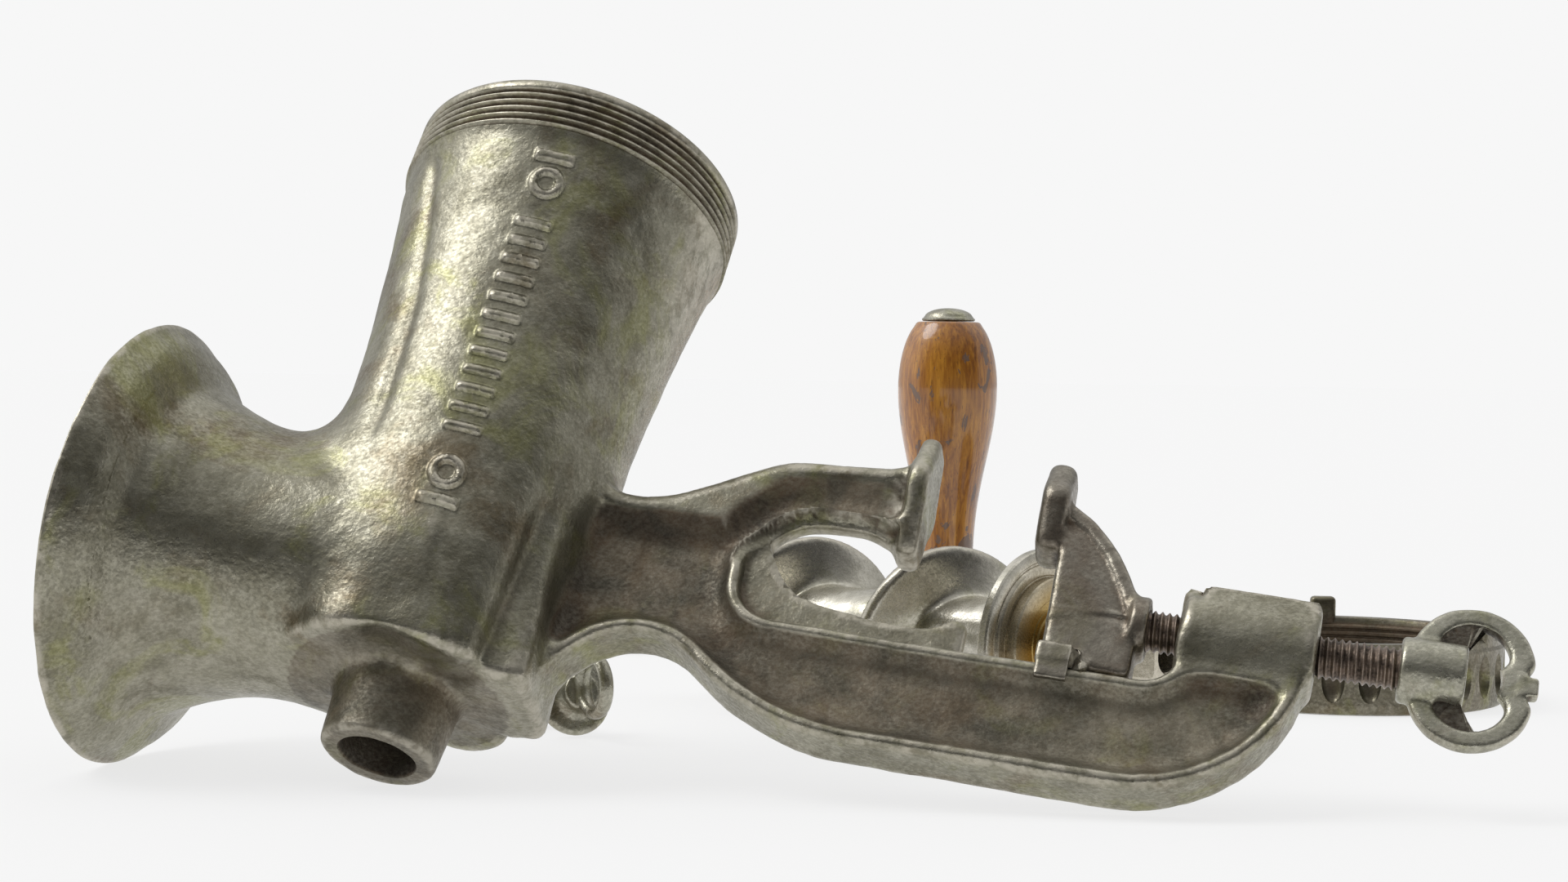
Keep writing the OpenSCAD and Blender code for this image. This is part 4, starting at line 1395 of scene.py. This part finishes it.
@dataclass
class Clamp:
    """Sliding jaw, clamp screw and thumb turn, in the casting's frame."""

    screw_x: float = -27.7
    pitch: float = 1.5875
    pad_top: float = -134.3
    top: float = -140.9
    foot: float = -161.3
    spine: float = -43.0
    body_end: float = -28.4
    head_end: float = -39.8
    tab_ends: tuple[float, float] = (-48.0, -39.2)
    collar_low: float = -163.1
    collar_r: float = 7.4
    turn_z: float = -217.5
    loop_drop: float = 16.2
    loop_half: float = 1.8
    hub_r: float = 7.4
    pad: Section = field(init=False)
    gusset: Section = field(init=False)
    hollow: Section = field(init=False)
    pad_line: np.ndarray = field(init=False)
    gusset_line: Points = field(init=False)

    def __post_init__(self) -> None:
        """Prepare the jaw's sections."""
        self.pad_line = rounded([(11, -4, 3), (11, 4, 3), (0, 10.2, 6),
                                 (-13, 5.5, 3), (-13, -5.5, 3), (0, -10.2, 6)], 6)
        self.pad = Section(self.pad_line, 0.4, 8)
        self.gusset_line = [*swept([
            (0.4, -140), (-0.9, -142.5), (-4.7, -147.9), (-11.5, -153.9), (-20.7, -159.3),
            (self.screw_x, self.foot)], 3), (-31.7, self.top)]
        self.gusset = Section(self.gusset_line, 0.4, 8)
        self.hollow = Section([(0, -132), (-3.6, -140), (-7.2, -146), (-13.6, -151.6), (-22, -156.2),
                               (-27, -158), (-34, -158), (-34, -132)], 0.4, 8)

    def jaw_form(self, p: np.ndarray) -> np.ndarray:
        """Distance to the jaw before it is drilled.

        Args:
            p: Points, one in each row.

        Returns:
            The distances.
        """
        x, y, z = p.T
        side = np.abs(y)
        pad = trim(self.pad.at(x, y), past(z, self.top, self.pad_top), 3.2)
        plate = trim(self.gusset.at(x, z), side - 5.6, 1.8)
        # Both sides of the web are hollowed, deepest along its curved edge.
        inner = self.hollow.at(x, z)
        hollow = trim(trim(inner, -(x + 27.2), 0.5), 4.6 - side - 0.2 * inner, 1.2)
        plate = trim(plate, -hollow, 0.8)
        d = blend(pad, plate, 1.6)
        body = block(past(x, self.spine, self.body_end), side - 5.5,
                     past(z, self.foot, self.top), 2.2)
        d = blend(d, body, 0.6)
        # The head has a tab on each side of the spine, and a thin fin stands below it.
        height = past(z, -149.5, self.top)
        head = block(past(x, self.spine, self.head_end), side - 8.7, height, 1.0)
        tab = block(past(x, *self.tab_ends), past(side, 7.0, 8.8), height, 0.8)
        fin = block(past(x, -43.5, -33.5), side - 7.4 + 0.9 * np.clip(x + 43, 0, 10),
                    past(z, -151.9, -150.1), 1.0)
        d = blend(blend(blend(d, head, 2.6), tab, 1.6), fin, 2.2)
        collar = trim(np.hypot(x - self.screw_x, y) - self.collar_r,
                      past(z, self.collar_low, -159.1), 1.2)
        d = blend(d, collar, 1.6)
        return d - lumps(p, (0.10, 6, 2.4), (0.05, 2.4, 5.1))

    def jaw(self) -> None:
        """Make the sliding jaw with its thick pad, hollowed web and two tabs over the spine."""
        b, along = BENCH, shift(self.screw_x)
        parts = [b.slab("jaw_pad", self.pad_line, self.top, self.pad_top, "z"),
                 b.slab("jaw_web", self.gusset_line, -5.2, 5.2),
                 b.box("jaw_body", (self.spine, -6.3, self.foot), (self.body_end, 6.3, self.top)),
                 b.box("jaw_head", (self.spine, -8.7, -148.1), (self.head_end, 8.7, self.top)),
                 b.lathe("jaw_collar", rod(self.collar_r, self.collar_low, -157), 40, pose=along)]
        start, end = self.tab_ends
        parts += [b.box("jaw_tab", (start, low, -148.05), (end, low + 1.7, -140.95))
                  for low in (-8.8, 7.1)]
        jaw = b.cast("sliding_jaw_cast", parts, 0.5, self.jaw_form, (5, 1.0), 2, (3, 0.5))
        b.age(jaw, edge=0.22, hollow=1.2, near=5, far=50)
        b.carve(jaw, b.lathe("jaw_hole", rod(4.85, -166, -146.6), 64, pose=along))
        b.soften(jaw, 40)
        Piece.hand_over(jaw, casting_pose(), Finish.JAW, "tinned_iron", "jaw", "sliding_jaw")

    def screw(self) -> None:
        """Make the clamp screw with its cut thread."""
        b = BENCH
        tooth = [(4.06, 0), (4.12, 0.22), (4.62, 0.62), (4.74, 0.74), (4.74, 0.86), (4.62, 0.98),
                 (4.12, 1.38), (4.06, self.pitch)]
        thread = b.helix("screw_thread", tooth, self.pitch, 41, self.turn_z - 4.5, 40)
        core = b.lathe("screw_core", [
            (0, -229.4), (4.7, -229.4), (4.7, -220), (4.0, -219), (4.0, -157.5), (4.0, -155.9),
            (3.0, -155.8), (3.0, -152), (4.7, -151.9), (4.7, -147.5), (4.1, -146.9), (0, -146.9)], 48)
        screw = b.merge("clamp_screw_steel", thread, core)
        b.age(screw, edge=0.12, hollow=0.3, near=2, far=6)
        b.turn(screw, shift(self.screw_x))
        b.soften(screw, 50)
        Piece.hand_over(screw, casting_pose(), Finish.STEEL, "dark_steel", "screw", "clamp_screw")

    def turn_form(self, p: np.ndarray) -> np.ndarray:
        """Distance to the turn with its two loops.

        Args:
            p: Points, one in each row.

        Returns:
            The distances.
        """
        x, y, z = p[:, 0] - self.screw_x, p[:, 1], p[:, 2]
        loop_z, w = self.turn_z - self.loop_drop, np.abs(x)
        flat = blend(np.hypot(w - 4.2, z - loop_z) - 13.4, np.hypot(w, z - loop_z) - 12, 1)
        flat = trim(flat, -(np.hypot(w - 5.2, z - loop_z) - 7.9), 1.0)
        flat = blend(flat, np.hypot(w, z - loop_z + 8.0) - 3.4, 4.5)
        flat = trim(flat, -(np.hypot(w, z - loop_z + 16.2) - 5), 2.2)
        plate = trim(flat, np.abs(y) - self.loop_half, 1.7)
        hub = trim(np.hypot(x, y) - self.hub_r, past(z, self.turn_z - 15, self.turn_z - 0.8), 1.3)
        stub = block(w - 2.3, np.abs(y) - 1.75, past(z, loop_z - 14.4, loop_z - 10.4), 0.8)
        d = blend(blend(plate, hub, 1.8), stub, 1.2)
        return d - lumps(p, (0.09, 5, 4.4), (0.04, 2.0, 8.1))

    def thumb_turn(self) -> None:
        """Make the two-looped thumb turn on its round hub."""
        b, along, half = BENCH, shift(self.screw_x), self.loop_half
        loop_z = self.turn_z - self.loop_drop
        stretch = Matrix.Diagonal((1.31, 1, 1, 1))
        parts = [
            b.lathe("loops", [(7.2, -half), (13.4, -half), (13.4, half), (7.2, half)], 64, ring=True,
                    pose=shift(self.screw_x, loop_z) @ stretch @ ABOUT_Y),
            b.lathe("hub", rod(self.hub_r, self.turn_z - 15, self.turn_z), 48, pose=along),
            b.box("stub", (self.screw_x - 2.3, -1.75, loop_z - 14.4),
                  (self.screw_x + 2.3, 1.75, loop_z - 8))]
        turn = b.cast("thumb_turn_cast", parts, 0.42, self.turn_form, (8, 1.2), 3, (3, 0.5))
        b.age(turn, edge=0.2, hollow=0.9, near=5, far=40)
        hole = rod(4.78, self.turn_z - 11.9, self.turn_z + 1)
        b.carve(turn, b.lathe("turn_hole", hole, 48, pose=along))
        b.soften(turn, 40)
        Piece.hand_over(turn, casting_pose(), Finish.BRIGHT, "bright_tin", "screw", "thumb_turn")

    def build(self) -> None:
        """Make the clamp's moving pieces."""
        self.jaw()
        self.screw()
        self.thumb_turn()


# ---------------------------------------------------------------- feed screw

@dataclass
class FeedScrew:
    """Feed screw on its side: core, flight, flange, journal and driving end."""

    core_r: float = 11.0
    flight_r: float = 24.2
    length: float = 119.0
    flange_t: float = 3.0
    pitch: float = 50.0
    start: float = 23.0

    def pose(self) -> Matrix:
        """Find the frame of the feed screw.

        Returns:
            The frame, with +Z to its front end.
        """
        j = joint("feed_screw_turn")
        front = Vector(j["axis"]).normalized()
        return axes(Vector((0, 0, -1)), Vector((-front.y, front.x, 0)), front,
                    Vector(j["pos_m"]) / MM)

    def section(self) -> list:
        """Section of the core and its flight, with filleted roots and a rounded crest.

        Returns:
            Its points.
        """
        out = []
        for deg in np.arange(-180, 180, 4.0):
            a = abs(deg)
            fall = float(np.clip((a - 13) / 34, 0, 1))
            r = self.core_r + (self.flight_r - self.core_r) * (1 - fall) ** 1.6
            if 11 <= a <= 13.5:
                r = self.flight_r - 0.25
            turn = math.radians(deg)
            out.append((r * math.cos(turn), r * math.sin(turn), self.flange_t))
        return out

    def flights(self) -> None:
        """Screw the core and flight up the axis."""
        b = BENCH
        rise = self.length - self.flange_t
        turns = rise / self.pitch
        steps = round(turns * 56)
        section = self.section()
        obj = b.chain("feed_screw_flight", section + section[:1])
        b.modify(obj, "SCREW", axis="Z", angle=-2 * math.pi * turns, screw_offset=rise, iterations=1,
                 steps=steps, render_steps=steps)
        b.weld(obj, 0.01, fill=True)
        b.turn(obj, Matrix.Rotation(math.radians(self.start), 4, "Z"))
        b.remesh(obj, 0.75)
        b.relax(obj, 5)
        p = b.points(obj)
        r = np.hypot(p[:, 0], p[:, 1])
        grow = 1 + lumps(p, (0.14, 9, 6.6), (0.06, 3, 2.2)) / np.maximum(r, 5)
        p[:, :2] *= grow[:, None]
        p[:, 2] = np.clip(p[:, 2], self.flange_t - 0.4, self.length)
        b.place(obj, p)
        b.age(obj, edge=0.2, hollow=7.0, near=5, far=60)
        b.soften(obj, 50)
        Piece.hand_over(obj, self.pose(), Finish.FEED, "bright_tin", "feed_screw", "feed_flights")

    def shank(self) -> None:
        """Turn the flange with its steps, the seat, the journal and the flatted driving end."""
        b = BENCH
        line = [(0, 3.1), (23.8, 3.1), (24.6, 2.8), (24.9, 2.3), (24.9, 0.6), (24.6, 0.1),
                (23.9, -0.1), (22.0, -0.1), (21.7, 0.15), (21.2, 0.15), (20.9, -0.5), (20.5, -0.8),
                (18.4, -0.8), (18.1, -0.6), (17.8, -0.7), (17.8, -3.5), (17.4, -3.95), (16.9, -4),
                (12.6, -4), (12.3, -3.8), (10.6, -3.8), (10.3, -4), (9.1, -4), (8.68, -4.4),
                (8.68, -24.2), (8.4, -24.6), (8.0, -24.6), (8.0, -37.8), (7.2, -38.6), (4.6, -38.6),
                (4.0, -38), (4.0, -16), (0, -14)]
        shank = b.lathe("feed_screw_shank", line, 128)
        b.carve(shank, b.box("flat", (-12, 6.2, -39.6), (12, 16.2, -24.6)))
        x, y, z = b.points(shank).T
        r = np.hypot(x, y)
        # Golden tint, strongest at the shank's root on the flange and faint over the rest of it: a painted
        # reflection.
        b.mark(shank, "amber", 0.75 * (1 - ease(r, 10, 21)) * (z < 1) * (z > -5) + 0.15 * (r < 22))
        b.soften(shank, 30)
        Piece.hand_over(shank, self.pose(), Finish.FEED, "bright_tin", "feed_screw", "feed_shank")

    def build(self) -> None:
        """Make the feed screw's two pieces."""
        self.flights()
        self.shank()


# ---------------------------------------------------------------- ring nut

@dataclass
class RingNut:
    """Ring nut that lies open side up, with finger hollows around it and lugs on its rim."""

    r: float = 49.0
    thread_top: float = 17.6
    pitch: float = 2.15
    hollows: int = 30
    lugs: int = 3

    def pose(self) -> Matrix:
        """Frame of the nut, standing on the table."""
        at = Vector(joint("ring_nut_turn")["pos_m"]) / MM
        return Matrix.Translation((at.x, at.y, 0))

    def ring(self) -> Thing:
        """Turn the ring with its thread inside.

        Returns:
            The ring.
        """
        thread: list = []
        for i in range(6):
            at = self.thread_top - i * self.pitch
            thread += [(42.3, at), (42.3, at - 0.5), (43.0, at - 1.0), (43.0, at - 1.3), (42.3, at - 1.9)]
        wall = [(self.r, 1.8 + 1.4 * i) for i in range(12)]
        line = [(32.6, 0), (46.6, 0), (48.2, 0.5), *wall, (48.6, 17.7), (48.2, 18.1), (48.2, 19.6),
                (47.6, 20.3), (46.8, 20.4), (44.6, 20.4), (43.7, 20.1), (43.4, 19.4), (43.2, 18.2),
                *thread, (42.9, 4.9), (42.2, 4.4), (32.8, 4.4), (32.0, 3.8), (32.0, 0.6)]
        return BENCH.lathe("ring_nut_cast", line, 240, ring=True)

    def pods(self) -> Thing:
        """Make the tool that presses the finger hollows.

        Returns:
            All its pods as one mesh.
        """
        pods = []
        for i in range(self.hollows):
            bpy.ops.mesh.primitive_uv_sphere_add(segments=20, ring_count=12, radius=1)
            spot = Matrix.Rotation(math.radians(6 + 360 / self.hollows * i), 4, "Z")
            pods.append(BENCH.turn(bpy.context.object, spot @ Matrix.Translation((
                self.r + 1.1, 0, 9.9)) @ Matrix.Diagonal((3.4, 3.5, 6.6, 1))))
        return BENCH.merge("pods", *pods)

    def build(self) -> None:
        """Turn the ring, press its hollows and set its lugs."""
        b, nut = BENCH, self.ring()
        b.carve(nut, self.pods())
        lugs = [b.turn(b.box("lug", (42.9, -3.9, 17.5), (48.3, 3.9, 26.5), 1.3),
                       Matrix.Rotation(math.radians(84 + 360 / self.lugs * i), 4, "Z"))
                for i in range(self.lugs)]
        nut = b.merge("ring_nut_cast", nut, *lugs)
        x, y, z = b.points(nut).T
        r = np.hypot(x, y)
        # Darker inside the ring and in the finger hollows: painted shade, with soiling.
        inside = 0.75 * (r < 43.3) * (z > 3) * (z < 20)
        pressed = 0.6 * np.clip((48.7 - r) / 2.0, 0, 1) * (r > 45) * (z > 3) * (z < 17.2)
        b.mark(nut, "sunk", np.maximum(inside, pressed))
        b.soften(nut, 34)
        Piece.hand_over(nut, self.pose(), Finish.NUT, "tinned_iron", "ring_nut", "ring_nut")


# ---------------------------------------------------------------- crank

@dataclass
class Crank:
    """Crank lying on its hub: cast arm, turned wooden grip and the bolt's domed head."""

    arm_t: float = 9.0
    hub_rise: float = 2.0
    washer_t: float = 1.6
    waist_r: float = 9.0
    grip_r: float = 16.1
    grip_len: float = 99.0

    def pose(self) -> Matrix:
        """Find the frame of the crank.

        Returns:
            The frame, with +X from the grip to the hub.
        """
        grip = Vector(joint("grip_spin")["pos_m"]) / MM
        hub = Vector(joint("crank_swing")["pos_m"]) / MM
        x = (hub - grip).normalized()
        return axes(x, Vector((-x.y, x.x, 0)), Vector((0, 0, 1)), Vector((grip.x, grip.y, 0)))

    def arm(self) -> None:
        """Cast the arm with softened edges."""
        b = BENCH
        arm = b.copy_node("crank_arm")
        b.remesh(arm, 0.75)
        b.relax(arm, 4)
        b.age(arm, edge=0.25, hollow=1.4, near=5, far=40)
        arm.name = "crank_arm_cast"
        b.soften(arm, 50)
        Piece.hand_over(arm, Matrix.Identity(4), Finish.JAW, "tinned_iron", "crank", "crank_arm")

    def grip(self) -> None:
        """Turn the wooden grip: slim below, full above, with a flat crown."""
        low = self.arm_t + self.hub_rise + self.washer_t + 0.3
        swell, full = self.grip_r - self.waist_r, 0.78
        line = [(3.3, 0), (7.9, 0), (8.6, 0.4), (8.9, 1.2), (8.9, 5)]
        for t in np.arange(1, 25) / 24:
            line.append((self.waist_r + swell * math.sin(math.pi / 2 * t) ** 4 - 0.1 * (1 - t),
                         8 + t * (self.grip_len * full - 8)))
        for a in np.radians(range(5, 65, 5)):
            line.append((self.grip_r * math.cos(a * 0.72) - 1.1 * (1 - math.cos(a)),
                         self.grip_len * (full + 0.235 * math.sin(a))))
        line += [(10.5, self.grip_len - 0.5), (10.0, self.grip_len - 0.1), (9.6, self.grip_len),
                 (3.3, self.grip_len)]
        grip = BENCH.lathe("wooden_grip", [(r, z + low) for r, z in line], 96, ring=True)
        BENCH.soften(grip, 50)
        Piece.hand_over(grip, self.pose(), Finish.WOOD, "varnished_wood", "grip", "wood_grip")

    def bolt(self) -> None:
        """Turn the bolt through the grip with a shallow domed head on a thin ring."""
        top = self.arm_t + self.hub_rise + self.washer_t + self.grip_len + 0.6
        dome = [(7.8 * math.cos(a), top + 1.2 + 3.0 * math.sin(a)) for a in np.radians(range(8, 91, 8))]
        line = [(0, 0.4), (4.8, 0.4), (5.4, 1.0), (5.4, 2.9), (3.2, 2.9), (3.2, top), (8.3, top),
                (8.6, top + 0.25), (8.6, top + 0.7), (8.2, top + 1.0), *dome, (0, top + 4.2)]
        bolt = BENCH.lathe("grip_bolt_domed", line, 72)
        BENCH.soften(bolt, 30)
        Piece.hand_over(bolt, self.pose(), Finish.BRIGHT, "bright_tin", "crank", "grip_bolt")

    def build(self) -> None:
        """Make the crank's pieces."""
        self.arm()
        self.grip()
        self.bolt()


# ---------------------------------------------------------------- small pieces

@dataclass
class ThumbScrew:
    """Screw that holds the crank on, lying on its collar and the tip of its thread."""

    pitch: float = 1.6
    ring_r: float = 7.0
    ring_half: float = 1.6
    ring_z: float = 13.8

    def pose(self) -> Matrix:
        """Find the frame of the thumb screw.

        Returns:
            The frame, with +Z out through its ring.
        """
        j = joint("thumb_screw_turn")
        z = Vector(j["axis"]).normalized()
        y = Vector((0, 0, 1)).cross(z).normalized()
        return axes(y.cross(z), y, z, Vector(j["pos_m"]) / MM)

    def head(self) -> None:
        """Make the collar with its ring."""
        b = BENCH
        collar = b.lathe("collar", [
            (0, 0), (9.9, 0), (10.4, 0.3), (10.5, 0.8), (10.5, 1.3), (10.1, 1.9), (9.4, 2.2),
            (6.4, 2.6), (5.4, 3.4), (4.9, 5), (4.8, 7), (0, 7)], 72)
        bpy.ops.mesh.primitive_torus_add(major_radius=self.ring_r, minor_radius=self.ring_half,
                                         major_segments=72, minor_segments=24)
        ring = b.turn(bpy.context.object,
                      shift(0, self.ring_z) @ ABOUT_Y @ Matrix.Diagonal((1, 1, 1.22, 1)))
        head = b.merge("thumb_screw_head", collar, ring)
        b.remesh(head, 0.4)
        b.relax(head, 5)
        b.age(head, edge=0.2, hollow=1.0, near=5, far=40)
        b.soften(head, 50)
        Piece.hand_over(head, self.pose(), Finish.BRIGHT, "bright_tin", "thumb_screw", "thumb_head")

    def thread(self) -> None:
        """Cut the thread on its core."""
        b = BENCH
        tooth = [(3.3, 0), (3.35, 0.2), (3.82, 0.66), (3.88, 0.8), (3.82, 0.94), (3.35, 1.4),
                 (3.3, self.pitch)]
        thread = b.helix("thumb_thread_cut", tooth, self.pitch, 12, -21.2)
        core = b.lathe("thumb_core", [(0, -22), (2.8, -22), (3.25, -21.4), (3.25, -2), (3.9, -1.4),
                                      (3.9, 3), (0, 3)], 40)
        thread = b.merge("thumb_screw_thread", thread, core)
        b.age(thread, edge=0.1, hollow=0.25, near=2, far=5)
        b.soften(thread, 50)
        Piece.hand_over(thread, self.pose(), Finish.STEEL, "dark_steel", "thumb_screw", "thumb_thread")

    def build(self) -> None:
        """Make the head and the thread."""
        self.head()
        self.thread()


@dataclass
class Cutters:
    """Knife and plate with eased edges, and the small steel nodes."""

    small: tuple[str, ...] = ("plate_key", "jaw_pin", "knife_stud", "grip_washer")

    def cutter(self, node: str, body: str, bevel: float, segments: int) -> None:
        """Ease the edges of a packed cutter and dress it.

        Args:
            node: Node that it stands for.
            body: Body that it rides on.
            bevel: Width of its eased edges.
            segments: Facets across each of them.
        """
        obj = BENCH.copy_node(node)
        BENCH.bevel(obj, bevel, segments)
        obj.name = node + "_ground"
        BENCH.soften(obj, 35)
        Piece.hand_over(obj, Matrix.Identity(4), Finish.STEEL, "dark_steel", body, node)

    def build(self) -> None:
        """Make both cutters and give the small steel nodes their finish."""
        self.cutter("knife", "knife", 0.5, 2)
        self.cutter("cutter_plate", "plate", 0.35, 1)
        for node in self.small:
            mesh = frame["nodes"][node].data
            mesh.materials.clear()
            mesh.materials.append(Finish.STEEL.material())


# ---------------------------------------------------------------- studio

@dataclass
class Studio:
    """Pale table, soft light from the upper left and the camera."""

    spot: tuple[float, float, float] = (-0.02468, -0.7696, 0.09515)
    angles: tuple[float, float, float] = (88.5588, -0.7571, 0.019)
    lens: float = 63.5
    white: float = 0.93
    sun: float = 1.0
    sun_width: float = 32.0
    sun_from: tuple[float, float, float] = (-0.62, -0.05, 0.78)
    # Direction of each bright part of the sky, where it starts and is full, and both strengths.
    panels: tuple = (
        ((0, 0, 1), 0.32, 1.0, 0.05, 0.70),
        ((-0.90, 0.12, 0.42), 0.72, 0.95, 0.0, 0.55),
        ((0, 1, -0.3), -0.36, -0.22, 0.0, 0.62))

    def camera(self) -> None:
        """Set the camera low in front of the layout."""
        data = bpy.data.cameras.new("camera")
        data.lens, data.sensor_width, data.clip_start = self.lens, 36, 0.01
        obj = bpy.data.objects.new("camera", data)
        obj.location, obj.rotation_euler = self.spot, [math.radians(a) for a in self.angles]
        bpy.context.scene.collection.objects.link(obj)
        bpy.context.scene.camera = obj

    def table(self) -> None:
        """Lay the table top."""
        bpy.ops.mesh.primitive_plane_add(size=60)
        table = bpy.context.object
        table.name = "table_top"
        table.data.materials.append(TableFinish().material())

    def lights(self) -> None:
        """Light the layout with a soft sky, bright overhead, and a wide lamp at the upper left."""
        world = bpy.data.worlds.new("sky")
        bpy.context.scene.world = world
        s = Sketch(world)
        spot = s.node("ShaderNodeTexCoord").outputs["Generated"]
        total = 0.0
        for direction, low, high, dim, full in self.panels:
            toward = s.node("ShaderNodeVectorMath", operation="DOT_PRODUCT", in0=spot,
                            in1=Vector(direction).normalized()).outputs["Value"]
            total = s.math("ADD", total, s.span(toward, low, high, dim, full))
        seen = s.node("ShaderNodeLightPath").outputs["Is Camera Ray"]
        sky = s.node("ShaderNodeBackground", Strength=total)
        plain = s.node("ShaderNodeBackground", Color=(self.white, self.white, self.white, 1))
        both = s.node("ShaderNodeMixShader", in0=seen, in1=sky.outputs[0], in2=plain.outputs[0])
        s.node("ShaderNodeOutputWorld", Surface=both.outputs[0])
        sun = bpy.data.lights.new("key", "SUN")
        sun.energy, sun.angle = self.sun, math.radians(self.sun_width)
        key = bpy.data.objects.new("key", sun)
        key.rotation_euler = Vector(self.sun_from).to_track_quat("Z", "Y").to_euler()
        bpy.context.scene.collection.objects.link(key)

    def build(self) -> None:
        """Set up the studio."""
        self.camera()
        self.table()
        self.lights()
        bpy.context.scene.view_settings.view_transform = "Standard"


def main() -> None:
    """Build every sub-assembly in order."""
    logging.basicConfig(level=logging.INFO, format="%(name)s: %(message)s")
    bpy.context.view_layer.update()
    for maker in (Casting(), Clamp(), FeedScrew(), RingNut(), Crank(), ThumbScrew(), Cutters(),
                  Studio()):
        log.info("making %s", type(maker).__name__)
        maker.build()


if __name__ == "__main__":
    main()
